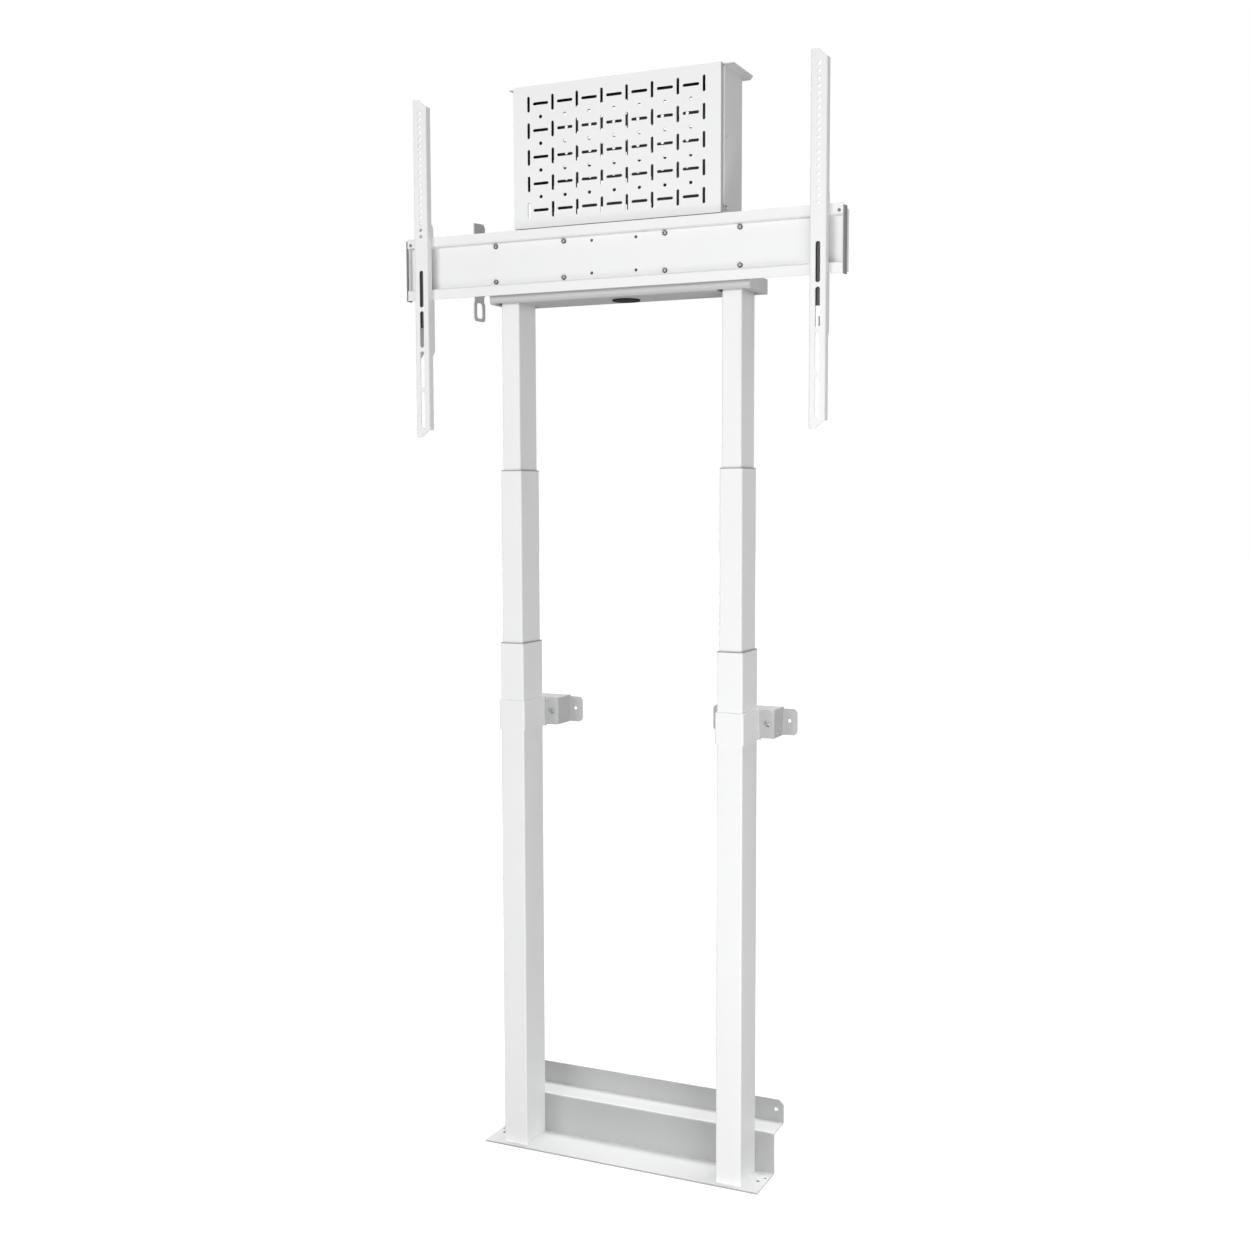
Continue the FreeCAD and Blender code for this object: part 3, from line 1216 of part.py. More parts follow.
def make_arm_rail(side):
    x = side * ARM_X
    half = ARM_WIDTH / 2.0
    path = [(x - half, ARM_BACK), (x - half, ARM_FRONT), (x + half, ARM_FRONT), (x + half, ARM_BACK)]
    body = folded(path, ARM_SHEET, ARM_BEND, "xy", ARM_BOTTOM, ARM_TOP)
    web_back = ARM_FRONT + ARM_SHEET + PAST
    cutters = []
    for index in range(ARM_HOLE_COUNT):
        z = ARM_TOP - ARM_HOLE_TOP - index * ARM_HOLE_PITCH
        cutters.append(rod_y(ARM_HOLE_RADIUS, x, z, ARM_FRONT - PAST, web_back))
    for index in range(ARM_SLOT_COUNT):
        z = ARM_SLOT_TOP - ARM_SLOT_LENGTH / 2.0 - index * ARM_SLOT_PITCH
        cutters.append(stadium(x, z, ARM_SLOT_LENGTH, ARM_SLOT_WIDTH, True, ARM_FRONT - PAST, web_back))
    for end, way, size in ((ARM_TOP, 1, ARM_TOP_CUT), (ARM_BOTTOM, -1, ARM_BOTTOM_CUT)):
        corner = [
            (x + half - size[0], end),
            (x + half - size[0], end + way),
            (x + half + PAST, end + way),
            (x + half + PAST, end - way * size[1]),
            (x + half, end - way * size[1]),
        ]
        cutters.append(prism(corner, "xz", ARM_FRONT - PAST, ARM_BACK + PAST))
    return without(body, cutters)


def make_arm_hook(side):
    """Two cheeks inside the rail with a web between them; they hang on the upper lip of the crossbar."""
    x = side * ARM_X
    web_front = ARM_FRONT + ARM_SHEET
    front = web_front + ARM_BEND
    notch = BAR_LIP_Y - GAP
    over_lip = BAR_TOP + GAP
    tip_low = BAR_JOG_HIGH + BAR_SHEET + HOOK_TIP_ROOM
    back = ARM_FRONT + HOOK_DEPTH
    side_profile = [
        (front, HOOK_TOP),
        (notch + HOOK_TOP_STEP, HOOK_TOP),
        (HOOK_TIP_BACK, HOOK_TOP - HOOK_TOP_CHAMFER),
        (HOOK_TIP_BACK, tip_low),
        (HOOK_TIP_FRONT, tip_low),
        (HOOK_TIP_FRONT, over_lip),
        (notch, over_lip),
        (notch, BAR_BOTTOM - GAP),
        (back, BAR_BOTTOM - GAP),
        (back, HOOK_BOTTOM + HOOK_TAPER_HEIGHT),
        (back - HOOK_TAPER, HOOK_BOTTOM),
        (front, HOOK_BOTTOM),
    ]
    pieces = []
    for end in (-1, 1):
        outer = x + end * ARM_INNER
        pieces.append(prism(side_profile, "yz", outer - end * HOOK_SHEET, outer))
    inner = ARM_INNER - HOOK_SHEET
    foot_low = HOOK_BOTTOM + HOOK_FOOT_RISE
    for low, high in ((HOOK_WEB_LOW, HOOK_WEB_HIGH), (foot_low, foot_low + HOOK_FOOT_HEIGHT)):
        pieces.append(box(x - inner, x + inner, web_front, web_front + HOOK_SHEET, low, high))
    pieces.append(rod_x(SPRING_PIN_RADIUS, SPRING_Y, SPRING_PIN_Z, x - inner, x + inner))
    return fused(pieces)


def make_latch(side):
    """Black slider: its nose stands behind the lower lip, its grip shows in the second slot."""
    x = side * ARM_X
    half = ARM_INNER - HOOK_SHEET - GAP
    lip_front = BAR_LIP_Y - LATCH_LIP_ROOM
    under = BAR_BOTTOM - GAP
    nose_top = BAR_JOG_LOW - BAR_SHEET - GAP
    stem_x = x + LATCH_STEM_X
    stem_front = LATCH_FRONT + LATCH_STEM_INSET
    stem_back = stem_front + LATCH_STEM_DEPTH
    grip_x = x + LATCH_GRIP_X
    grip = (grip_x - LATCH_GRIP_HALF, grip_x + LATCH_GRIP_HALF)
    pieces = [
        box(x - half, x + half, LATCH_FRONT, lip_front, LATCH_BOTTOM, LATCH_TOP),
        box(x - half, x + half, lip_front, HOOK_TIP_BACK, under - LATCH_NOSE, under),
        box(x - half, x + half, HOOK_TIP_FRONT, HOOK_TIP_BACK, under, nose_top),
        box(stem_x, stem_x + LATCH_STEM, stem_front, stem_back, LATCH_GRIP_HIGH, LATCH_BOTTOM),
        box(*grip, stem_front, LATCH_FRONT + LATCH_GRIP_DEPTH, LATCH_GRIP_LOW, LATCH_GRIP_HIGH),
    ]
    return fused(pieces)


def make_latch_spring(side):
    x = side * ARM_X
    low = LATCH_TOP + SPRING_WIRE + SPRING_END_ROOM
    high = SPRING_PIN_Z - SPRING_PIN_RADIUS - SPRING_WIRE - SPRING_END_ROOM
    helix = Part.makeHelix((high - low) / SPRING_TURNS, high - low, SPRING_RADIUS)
    helix.translate(V(x, SPRING_Y, low))
    section = Part.Wire(Part.makeCircle(SPRING_WIRE, V(x + SPRING_RADIUS, SPRING_Y, low), V(0, 1, 0)))
    return Part.Wire(helix.Edges).makePipeShell([section], True, True)


def save_root():
    save("base_bracket", [make_base()])
    save("foot_screws", make_foot_screws())
    save("standpipes", [make_standpipe(side) for _, side in SIDES])
    save(
        "lower_nuts",
        [
            make_nut(side * COLUMN_X, LOWER_NUT_RADIUS, LOWER_SPINDLE_RADIUS, LOWER_NUT_BOTTOM)
            for _, side in SIDES
        ],
    )
    save("outer_glides", [make_glide(side * COLUMN_X, OUTER, MIDDLE, OUTER_TOP) for _, side in SIDES])
    save("collar_screws", make_collar_screws())
    for name, side in SIDES:
        save(name + "_outer_tube", [make_tube(side * COLUMN_X, OUTER, SHEET, OUTER_TOP)])
        save(name + "_collar", [make_collar(side)])
        save(name + "_wall_bracket", [make_wall_bracket(side)])


def save_middle_stage():
    for name, side in SIDES:
        x = side * COLUMN_X
        save(name + "_middle_tube", [make_tube(x, MIDDLE, MIDDLE_BOTTOM, MIDDLE_TOP)])
        save(name + "_middle_pipe", [make_middle_pipe(side)])
        save(name + "_upper_nut", [make_nut(x, UPPER_NUT_RADIUS, UPPER_SPINDLE_RADIUS, UPPER_NUT_BOTTOM)])
        save(name + "_middle_glide", [make_glide(x, MIDDLE, INNER, MIDDLE_TOP)])
        save(name + "_middle_shoe", [make_shoe(x, MIDDLE, OUTER, MIDDLE_BOTTOM)])


def save_drive():
    for name, side in SIDES:
        save(name + "_lower_spindle", [make_lower_spindle(side)])
        save(name + "_upper_spindle", [make_upper_spindle(side)])
        save(name + "_worm_wheel", [make_worm_wheel(side)])
        save(name + "_worm", [make_worm(side)])
    save("gearboxes", [make_gearbox(side) for _, side in SIDES])
    save("motors", [make_motor(side) for _, side in SIDES])


def save_head():
    for name, side in SIDES:
        save(name + "_inner_tube", [make_inner_tube(side)])
    save("inner_shoes", [make_shoe(side * COLUMN_X, INNER, MIDDLE, INNER_BOTTOM) for _, side in SIDES])
    save("beam_tray", [make_beam_tray()])
    save("beam_bottom", [make_beam_bottom()])
    save("cable_grommet", [make_grommet()])
    save("crossbar", [make_crossbar()])
    save("crossbar_screws", make_crossbar_screws())
    save("end_plates", [make_end_plate(side) for _, side in SIDES])
    save("uprights", [make_upright(side) for _, side in SIDES])
    save("box_brackets", [make_box_bracket(side) for _, side in SIDES])
    save("cable_hook_plate", [make_hook_plate()])
    save("media_box", [make_media_box()])
    save("media_top_cover", [make_cover()])
    save("media_panel", [make_media_panel()])
    save("panel_pins", make_panel_pins())
    save("control_case", [make_control_case()])
    save("control_board", [make_control_board()])
    save("mains_inlet", [make_mains_inlet()])


def save_arms():
    for name, side in SIDES:
        save(name + "_arm_rail", [make_arm_rail(side)])
        save(name + "_arm_hook", [make_arm_hook(side)])
        save(name + "_latch", [make_latch(side)])
        save(name + "_latch_spring", [make_latch_spring(side)])


save_root()
save_middle_stage()
save_drive()
save_head()
save_arms()
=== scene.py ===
import math

import bpy
from mathutils import Matrix, Vector

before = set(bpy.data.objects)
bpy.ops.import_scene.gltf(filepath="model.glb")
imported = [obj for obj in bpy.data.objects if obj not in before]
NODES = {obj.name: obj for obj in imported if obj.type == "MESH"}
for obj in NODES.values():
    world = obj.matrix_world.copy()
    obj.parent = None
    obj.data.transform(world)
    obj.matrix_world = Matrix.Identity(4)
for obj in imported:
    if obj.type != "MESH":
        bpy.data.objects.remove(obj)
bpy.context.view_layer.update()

# Camera solved on the photograph, in metres and degrees
CAMERA_PLACE = Vector((1.196485, -2.612964, 1.273941))
CAMERA_YAW = 24.639
CAMERA_PITCH = -4.727
CAMERA_ROLL = -0.1435
FOCAL_PIXELS = 1527.34
PHOTO_PIXELS = 1250.0
SENSOR_MM = 36.0
CLIP_END = 50.0

# An unturned camera looks straight down, so this brings it level, degrees
LEVEL_PITCH = 90.0

# Colours of the powder coats, linear; the copies of the white coat made darker or brighter are painted
# shade and a painted highlight
WHITE_COAT = (0.86, 0.863, 0.866, 1.0)
# Painted shade: the white coat darkened for the media box and its top cover
CASE_PAINTED_SHADE = (0.77, 0.773, 0.776, 1.0)
BASE_COAT = (0.8, 0.803, 0.806, 1.0)
# Painted shade: the white coat darkened on the upright faces of the base bracket
RISER_PAINTED_SHADE = (0.44, 0.443, 0.446, 1.0)
# Painted shade: the white coat darkened for the beam tray and its bottom
BEAM_PAINTED_SHADE = (0.58, 0.583, 0.586, 1.0)
# Painted shade: the white coat darkened for the cable hook plate
HOOK_PAINTED_SHADE = (0.5, 0.5, 0.505, 1.0)
# Painted shade: the white coat darkened for the wall brackets and the collar ears
WALL_PAINTED_SHADE = (0.54, 0.542, 0.546, 1.0)
# Painted shade: the white coat darkened on the side faces of the media panel's returns
RETURN_PAINTED_SHADE = (0.52, 0.522, 0.526, 1.0)
# Painted highlight: the white coat brightened on the slanted edges of the media case
EDGE_PAINTED_HIGHLIGHT = (0.95, 0.952, 0.955, 1.0)
# Painted shade: the dark colour of the inside faces of the media case
INSIDE_PAINTED_SHADE = (0.07, 0.07, 0.072, 1.0)

# Colours of plastic and rubber, linear
GREY_PLASTIC = (0.16, 0.16, 0.163, 1.0)
# The glide and shoe plastic is dark grey, so the seams at the tube steps read dark
GLIDE_PLASTIC = (0.3, 0.3, 0.303, 1.0)
BLACK_PLASTIC = (0.018, 0.018, 0.019, 1.0)
BLACK_RUBBER = (0.004, 0.004, 0.004, 1.0)
MOTOR_BLACK = (0.02, 0.02, 0.022, 1.0)

# Colours of bare metal, linear
DARK_ZINC_COOL = (0.11, 0.115, 0.12, 1.0)
DARK_ZINC_WARM = (0.2, 0.195, 0.185, 1.0)
BRIGHT_ZINC_COOL = (0.38, 0.385, 0.39, 1.0)
BRIGHT_ZINC_WARM = (0.52, 0.51, 0.49, 1.0)
DRAWN_STEEL = (0.42, 0.42, 0.43, 1.0)
TURNED_STEEL = (0.6, 0.6, 0.6, 1.0)
BRONZE = (0.6, 0.4, 0.18, 1.0)
CAST_ALLOY = (0.55, 0.56, 0.57, 1.0)

# Colours of the control board, linear
BOARD_GREEN = (0.01, 0.11, 0.04, 1.0)
BOARD_PALE_GREEN = (0.015, 0.14, 0.05, 1.0)
BOARD_TRACKS = (0.05, 0.25, 0.09, 1.0)

# Most noise values lie between these two, so ramps run from one to the other
NOISE_LOW = 0.3
NOISE_HIGH = 0.7

# Brushed lines: noise scale across and along them
ACROSS_LINES = 260.0
ALONG_LINES = 6.0

# Widths of the rounded edges, millimetres, and the turn from which an edge is rounded, degrees
SHEET_EDGE = 0.3
EDGE_WIDTHS = {
    "base_bracket": 0.5,
    "beam_tray": 0.6,
    "end_plates": 0.4,
    "cable_hook_plate": 0.4,
    "media_box": SHEET_EDGE,
    "media_panel": SHEET_EDGE,
    "media_top_cover": 0.4,
    "gearboxes": 1.5,
    "control_case": 0.8,
    "mains_inlet": 0.5,
    "cable_grommet": 0.4,
    "outer_glides": SHEET_EDGE,
}
PAIRS_WITH_SHEET_EDGES = ("arm_hook", "latch", "collar", "wall_bracket", "arm_rail", "middle_glide")
EDGE_SEGMENTS = 2
EDGE_ANGLE = 40.0
MM_PER_METRE = 1000.0

# A sheet face of the media case lies at least this far from the middle of the case, metres
INSIDE_FACE_DEPTH = 0.02

# The collar ears lie behind the columns' axis, and the case's sides past these X, metres
COLUMN_AXIS = 0.0
PANEL_SIDE = 0.2068
EDGE_SIDE = 0.204

# Share of its normal along Y or X from which a face counts as upright, sideways or slanted
UPRIGHT_FACE = 0.7
SIDE_FACE = 0.7
SLANT_LIMIT = -0.3

# Brightness of the surroundings for the camera and for the stand, and of the floor for the camera
BACKDROP_LEVEL = 1.0
WORLD_LEVEL = 0.34
FLOOR_GLOW = 0.84
BACKDROP_COLOUR = (1.0, 1.0, 1.0, 1.0)
FLOOR_COLOUR = (0.32, 0.32, 0.32, 1.0)
FLOOR_REACH = 30.0

# Area lights: places, targets, widths and heights in metres, powers in watts
AREA_LIGHTS = {
    "key": {"place": (-3.2, -8.4, 3.3), "target": (0.0, 0.0, 1.1), "size": (4.0, 2.6), "power": 275.0},
    "front_fill": {"place": (1.4, -4.2, 0.7), "target": (0.0, 0.0, 0.9), "size": (1.6, 1.0), "power": 36.0},
    "low_fill": {"place": (1.45, -1.2, 0.3), "target": (0.2, 0.0, 0.6), "size": (0.9, 0.6), "power": 12.5},
}

# The light from above comes a little from behind the stand, degrees and watts per square metre
OVERHEAD_TILT = 8.0
OVERHEAD_SPREAD = 25.0
OVERHEAD_LEVEL = 2.2


class Graph:
    """Short names for building one material's nodes."""

    def __init__(self, name):
        self.material = bpy.data.materials.new(name)
        self.material.use_nodes = True
        self.tree = self.material.node_tree
        self.shader = self.tree.nodes["Principled BSDF"]

    def add(self, kind):
        return self.tree.nodes.new(kind)

    def link(self, out, into):
        self.tree.links.new(out, into)

    def coordinates(self, scale=(1.0, 1.0, 1.0)):
        source = self.add("ShaderNodeTexCoord")
        mapping = self.add("ShaderNodeMapping")
        mapping.inputs["Scale"].default_value = scale
        self.link(source.outputs["Object"], mapping.inputs["Vector"])
        return mapping.outputs["Vector"]

    def noise(self, vector, scale, detail=3.0, roughness=0.5):
        node = self.add("ShaderNodeTexNoise")
        node.inputs["Scale"].default_value = scale
        node.inputs["Detail"].default_value = detail
        node.inputs["Roughness"].default_value = roughness
        self.link(vector, node.inputs["Vector"])
        return node.outputs["Fac"]

    def colour(self, factor, low, high):
        """The base colour runs from low to high with the factor."""
        node = self.add("ShaderNodeValToRGB")
        first, last = node.color_ramp.elements
        first.position = NOISE_LOW
        first.color = low
        last.position = NOISE_HIGH
        last.color = high
        self.link(factor, node.inputs["Fac"])
        self.link(node.outputs["Color"], self.shader.inputs["Base Color"])

    def roughness(self, factor, low, high):
        """The roughness runs from low to high with the factor."""
        node = self.add("ShaderNodeMapRange")
        node.inputs["From Min"].default_value = NOISE_LOW
        node.inputs["From Max"].default_value = NOISE_HIGH
        node.inputs["To Min"].default_value = low
        node.inputs["To Max"].default_value = high
        self.link(factor, node.inputs["Value"])
        self.link(node.outputs["Result"], self.shader.inputs["Roughness"])

    def bump(self, height, strength, distance):
        node = self.add("ShaderNodeBump")
        node.inputs["Strength"].default_value = strength
        node.inputs["Distance"].default_value = distance
        self.link(height, node.inputs["Height"])
        self.link(node.outputs["Normal"], self.shader.inputs["Normal"])

    def make_metallic(self):
        self.shader.inputs["Metallic"].default_value = 1.0


def shade(colour, factor):
    return tuple(channel * factor for channel in colour[:3]) + (1.0,)


def coated_steel(name, colour):
    """Powder coat: a fine pebbled skin, slightly uneven in gloss and tone."""
    graph = Graph(name)
    vector = graph.coordinates()
    broad = graph.noise(vector, scale=6.0, detail=2.0)
    pebbles = graph.noise(vector, scale=900.0, detail=2.0, roughness=0.6)
    graph.colour(broad, low=shade(colour, 0.985), high=colour)
    graph.roughness(pebbles, low=0.36, high=0.48)
    graph.bump(pebbles, strength=0.18, distance=0.0002)
    return graph.material


def brushed_metal(name, colour, along, roughness):
    """Bare metal with fine lines along one axis."""
    graph = Graph(name)
    stretch = [ACROSS_LINES] * 3
    stretch["XYZ".index(along)] = ALONG_LINES
    lines = graph.noise(graph.coordinates(stretch), scale=3.0, detail=4.0)
    graph.colour(lines, low=shade(colour, 0.8), high=colour)
    graph.roughness(lines, low=roughness - 0.07, high=roughness + 0.09)
    graph.make_metallic()
    graph.bump(lines, strength=0.12, distance=0.0001)
    return graph.material


def zinc_plate(name, cool, warm):
    """Zinc plate with its cloudy, faintly warm bloom."""
    graph = Graph(name)
    clouds = graph.noise(graph.coordinates(), scale=160.0)
    graph.colour(clouds, low=cool, high=warm)
    graph.roughness(clouds, low=0.26, high=0.42)
    graph.make_metallic()
    return graph.material


def moulded(name, colour, roughness, grain=700.0, depth=0.0002):
    """Moulded plastic or rubber with a fine spark-eroded grain."""
    graph = Graph(name)
    vector = graph.coordinates()
    grains = graph.noise(vector, scale=grain, roughness=0.6)
    broad = graph.noise(vector, scale=12.0, detail=2.0)
    lighter = tuple(min(1.0, channel * 1.25 + 0.004) for channel in colour[:3]) + (1.0,)
    graph.colour(broad, low=colour, high=lighter)
    graph.roughness(grains, low=roughness - 0.06, high=roughness + 0.08)
    graph.bump(grains, strength=0.25, distance=depth)
    return graph.material


def cast_metal(name, colour):
    """Die-cast alloy: a dull, slightly pitted skin."""
    graph = Graph(name)
    vector = graph.coordinates()
    pits = graph.noise(vector, scale=420.0, detail=4.0, roughness=0.65)
    broad = graph.noise(vector, scale=20.0)
    graph.colour(broad, low=shade(colour, 0.85), high=colour)
    graph.roughness(pits, low=0.42, high=0.6)
    graph.make_metallic()
    graph.bump(pits, strength=0.3, distance=0.0004)
    return graph.material


def circuit_board(name):
    """Green solder mask with paler copper tracks."""
    graph = Graph(name)
    vector = graph.coordinates(scale=(1.0, 0.05, 1.0))
    bricks = graph.add("ShaderNodeTexBrick")
    bricks.inputs["Scale"].default_value = 60.0
    bricks.inputs["Color1"].default_value = BOARD_GREEN
    bricks.inputs["Color2"].default_value = BOARD_PALE_GREEN
    bricks.inputs["Mortar"].default_value = BOARD_TRACKS
    bricks.inputs["Mortar Size"].default_value = 0.02
    graph.link(vector, bricks.inputs["Vector"])
    graph.link(bricks.outputs["Color"], graph.shader.inputs["Base Color"])
    graph.roughness(graph.noise(vector, scale=300.0), low=0.25, high=0.4)
    return graph.material


def pair(*names):
    return [side + "_" + name for name in names for side in ("left", "right")]


def make_coats():
    """The powder coats with the nodes that wear them; the case, beam, hook and wall-bracket coats are the
    white coat painted darker, as painted shade.
    """
    return [
        (
            coated_steel("white_coat", WHITE_COAT),
            ["crossbar", "uprights", "box_brackets", "media_panel"]
            + pair("outer_tube", "middle_tube", "inner_tube", "collar", "arm_rail", "arm_hook"),
        ),
        # Painted shade on the media box and top cover
        (coated_steel("case_painted_shade", CASE_PAINTED_SHADE), ["media_box", "media_top_cover"]),
        (coated_steel("base_coat", BASE_COAT), ["base_bracket"]),
        # Painted shade on the beam
        (coated_steel("beam_painted_shade", BEAM_PAINTED_SHADE), ["beam_tray", "beam_bottom"]),
        # Painted shade on the cable hook plate
        (coated_steel("hook_painted_shade", HOOK_PAINTED_SHADE), ["cable_hook_plate"]),
        # Painted shade on the wall brackets
        (coated_steel("wall_bracket_painted_shade", WALL_PAINTED_SHADE), pair("wall_bracket")),
    ]


def make_metals():
    """The bare metals with the nodes that are made of them."""
    return [
        (zinc_plate("dark_zinc", DARK_ZINC_COOL, DARK_ZINC_WARM), ["crossbar_screws"]),
        (
            zinc_plate("bright_zinc", BRIGHT_ZINC_COOL, BRIGHT_ZINC_WARM),
            ["foot_screws", "collar_screws", "panel_pins"],
        ),
        (
            brushed_metal("drawn_tube", DRAWN_STEEL, along="Z", roughness=0.38),
            ["standpipes"] + pair("middle_pipe"),
        ),
        (
            brushed_metal("spindle_steel", TURNED_STEEL, along="Z", roughness=0.28),
            pair("lower_spindle", "upper_spindle", "latch_spring"),
        ),
        (brushed_metal("worm_steel", TURNED_STEEL, along="X", roughness=0.28), pair("worm")),
        (cast_metal("bronze", BRONZE), ["lower_nuts"] + pair("upper_nut", "worm_wheel")),
        (cast_metal("cast_alloy", CAST_ALLOY), ["gearboxes"]),
    ]


def make_plastics():
    """Plastic, rubber and the board with the nodes that are made of them."""
    return [
        (moulded("grey_plastic", GREY_PLASTIC, roughness=0.48), ["end_plates"]),
        (moulded("motor_black", MOTOR_BLACK, roughness=0.34, grain=500.0, depth=0.0001), ["motors"]),
        (
            moulded("glide_plastic", GLIDE_PLASTIC, roughness=0.45),
            ["outer_glides", "inner_shoes"] + pair("middle_glide", "middle_shoe"),
        ),
        (
            moulded("black_plastic", BLACK_PLASTIC, roughness=0.42),
            ["control_case", "mains_inlet"] + pair("latch"),
        ),
        (moulded("black_rubber", BLACK_RUBBER, roughness=0.8, grain=300.0), ["cable_grommet"]),
        (circuit_board("circuit_board"), ["control_board"]),
    ]


def dress_nodes():
    for material, names in make_coats() + make_metals() + make_plastics():
        for name in names:
            mesh = NODES[name].data
            mesh.materials.clear()
            mesh.materials.append(material)


def round_edges():
    widths = dict(EDGE_WIDTHS)
    for name in pair(*PAIRS_WITH_SHEET_EDGES):
        widths[name] = SHEET_EDGE
    for name, width in widths.items():
        bevel = NODES[name].modifiers.new("edges", "BEVEL")
        bevel.width = width / MM_PER_METRE
        bevel.segments = EDGE_SEGMENTS
        bevel.limit_method = "ANGLE"
        bevel.angle_limit = math.radians(EDGE_ANGLE)
        bevel.use_clamp_overlap = True


def coat_faces(name, coat, picks):
    """The faces that a test picks by their place and normal have a coat of their own."""
    node = NODES[name]
    node.data.materials.append(coat)
    slot = len(node.data.materials) - 1
    for face in node.data.polygons:
        if picks(node.matrix_world @ face.center, face.normal):
            face.material_index = slot


def inner_faces(node, middle, depth):
    """Polygons of a folded sheet that look towards a point inside the case."""
    place = node.matrix_world
    turn = place.to_3x3()
    faces = []
    for face in node.data.polygons:
        away = place @ face.center - middle
        if away.dot((turn @ face.normal).normalized()) < -depth:
            faces.append(face)
    return faces


def paint_shade_inside_media_case():
    """The inside faces of the media case and panel are painted dark, as painted shade, so that its vents
    read dark.
    """
    inside_shade = coated_steel("inside_painted_shade", INSIDE_PAINTED_SHADE)
    box = NODES["media_box"]
    corners = [box.matrix_world @ Vector(corner) for corner in box.bound_box]
    middle = sum(corners, Vector()) / len(corners)
    for name in ("media_box", "media_panel"):
        node = NODES[name]
        node.data.materials.append(inside_shade)
        for face in inner_faces(node, middle, INSIDE_FACE_DEPTH):
            face.material_index = 1


def is_upright(place, normal):
    return abs(normal.y) > UPRIGHT_FACE


def is_collar_ear(place, normal):
    return place.y > COLUMN_AXIS and is_upright(place, normal)


def is_panel_side(place, normal):
    return abs(place.x) > PANEL_SIDE and abs(normal.x) > SIDE_FACE


def is_slanted_edge(place, normal):
    return abs(place.x) > EDGE_SIDE and normal.y < SLANT_LIMIT and abs(normal.x) > SIDE_FACE


def coat_parts():
    """Faces painted darker or brighter than the rest of their node: painted shade on the base's upright
    faces, the collar ears and the panel's sides, and a painted highlight on the case's slanted edges.
    """
    # Painted shade on the upright faces of the base bracket
    coat_faces("base_bracket", coated_steel("riser_painted_shade", RISER_PAINTED_SHADE), is_upright)
    # Painted shade on the collar ears
    for name in pair("collar"):
        coat_faces(name, coated_steel("ear_painted_shade", WALL_PAINTED_SHADE), is_collar_ear)
    # Painted shade on the sides of the media panel
    coat_faces("media_panel", coated_steel("return_painted_shade", RETURN_PAINTED_SHADE), is_panel_side)
    # Painted highlight on the slanted edges of the media case
    coat_faces("media_box", coated_steel("edge_painted_highlight", EDGE_PAINTED_HIGHLIGHT), is_slanted_edge)


def add_object(name, data):
    holder = bpy.data.objects.new(name, data)
    bpy.context.scene.collection.objects.link(holder)
    return holder


def make_camera():
    camera = bpy.data.cameras.new("camera")
    camera.sensor_width = SENSOR_MM
    camera.lens = FOCAL_PIXELS / PHOTO_PIXELS * SENSOR_MM
    camera.clip_end = CLIP_END
    turned = (
        Matrix.Rotation(math.radians(CAMERA_YAW), 4, "Z")
        @ Matrix.Rotation(math.radians(LEVEL_PITCH + CAMERA_PITCH), 4, "X")
        @ Matrix.Rotation(math.radians(CAMERA_ROLL), 4, "Z")
    )
    holder = add_object("camera", camera)
    holder.matrix_world = Matrix.Translation(CAMERA_PLACE) @ turned
    bpy.context.scene.camera = holder


def area_light(name, place, target, size, power):
    light = bpy.data.lights.new(name, "AREA")
    light.shape = "RECTANGLE"
    light.size = size[0]
    light.size_y = size[1]
    light.energy = power
    holder = add_object(name, light)
    holder.location = place
    holder.rotation_euler = (Vector(target) - Vector(place)).to_track_quat("-Z", "Y").to_euler()


def overhead_light(name, tilt, spread, level):
    light = bpy.data.lights.new(name, "SUN")
    light.energy = level
    light.angle = math.radians(spread)
    holder = add_object(name, light)
    holder.rotation_euler = (math.radians(-tilt), 0.0, 0.0)


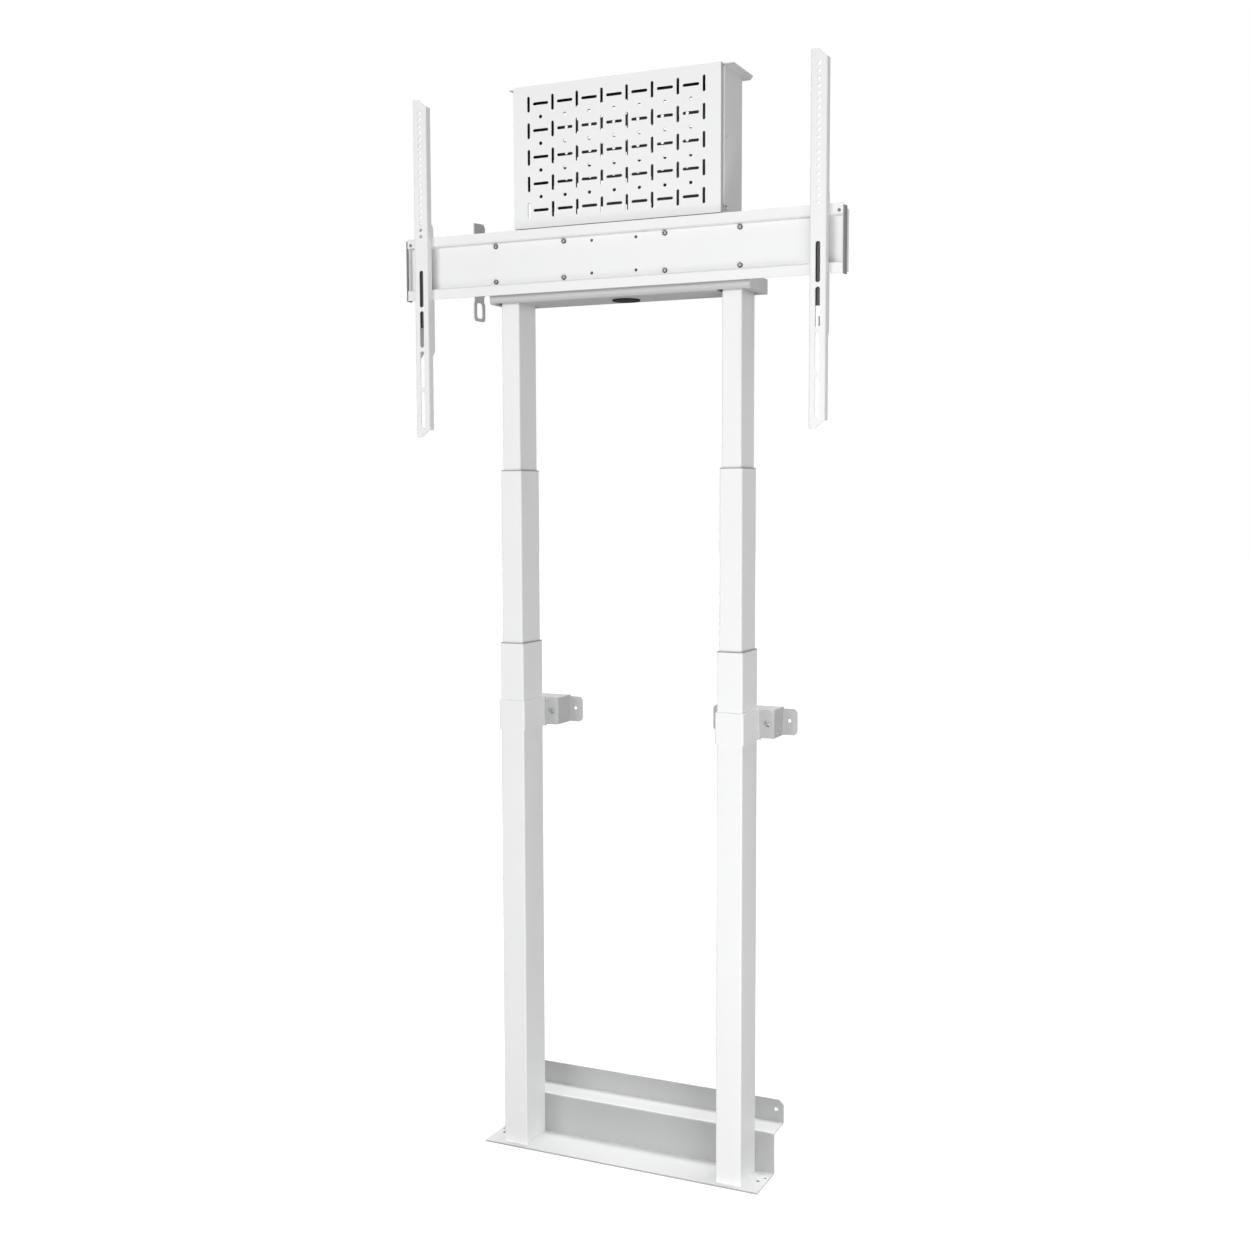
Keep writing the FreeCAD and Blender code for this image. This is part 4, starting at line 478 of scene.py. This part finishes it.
def make_world():
    """Surroundings that the camera and reflections see bright, and that light the stand softly."""
    world = bpy.data.worlds.new("studio")
    world.use_nodes = True
    bpy.context.scene.world = world
    tree = world.node_tree
    background = tree.nodes["Background"]
    background.inputs["Color"].default_value = BACKDROP_COLOUR
    rays = tree.nodes.new("ShaderNodeLightPath")
    seen = tree.nodes.new("ShaderNodeMath")
    seen.operation = "MAXIMUM"
    tree.links.new(rays.outputs["Is Camera Ray"], seen.inputs[0])
    tree.links.new(rays.outputs["Is Glossy Ray"], seen.inputs[1])
    level = tree.nodes.new("ShaderNodeMapRange")
    level.inputs["To Min"].default_value = WORLD_LEVEL
    level.inputs["To Max"].default_value = BACKDROP_LEVEL
    tree.links.new(seen.outputs["Value"], level.inputs["Value"])
    tree.links.new(level.outputs["Result"], background.inputs["Strength"])


def floor_material():
    """Matt and pale, with a glow that only the camera sees."""
    material = bpy.data.materials.new("floor")
    material.use_nodes = True
    tree = material.node_tree
    tree.nodes.clear()
    output = tree.nodes.new("ShaderNodeOutputMaterial")
    matt = tree.nodes.new("ShaderNodeBsdfDiffuse")
    matt.inputs["Color"].default_value = FLOOR_COLOUR
    glow = tree.nodes.new("ShaderNodeEmission")
    rays = tree.nodes.new("ShaderNodeLightPath")
    strength = tree.nodes.new("ShaderNodeMath")
    strength.operation = "MULTIPLY"
    strength.inputs[1].default_value = FLOOR_GLOW
    total = tree.nodes.new("ShaderNodeAddShader")
    tree.links.new(rays.outputs["Is Camera Ray"], strength.inputs[0])
    tree.links.new(strength.outputs["Value"], glow.inputs["Strength"])
    tree.links.new(matt.outputs["BSDF"], total.inputs[0])
    tree.links.new(glow.outputs["Emission"], total.inputs[1])
    tree.links.new(total.outputs["Shader"], output.inputs["Surface"])
    return material


def make_floor():
    """Plain floor that keeps the stand's shadow."""
    signs = ((-1, -1), (1, -1), (1, 1), (-1, 1))
    corners = [(x * FLOOR_REACH, y * FLOOR_REACH, 0.0) for x, y in signs]
    mesh = bpy.data.meshes.new("floor")
    mesh.from_pydata(corners, [], [range(len(corners))])
    mesh.materials.append(floor_material())
    add_object("floor", mesh)


make_camera()
make_world()
make_floor()
for light_name, settings in AREA_LIGHTS.items():
    area_light(light_name, **settings)
overhead_light("top", OVERHEAD_TILT, OVERHEAD_SPREAD, OVERHEAD_LEVEL)
dress_nodes()
round_edges()
paint_shade_inside_media_case()
coat_parts()

bpy.context.scene.view_settings.view_transform = "Standard"
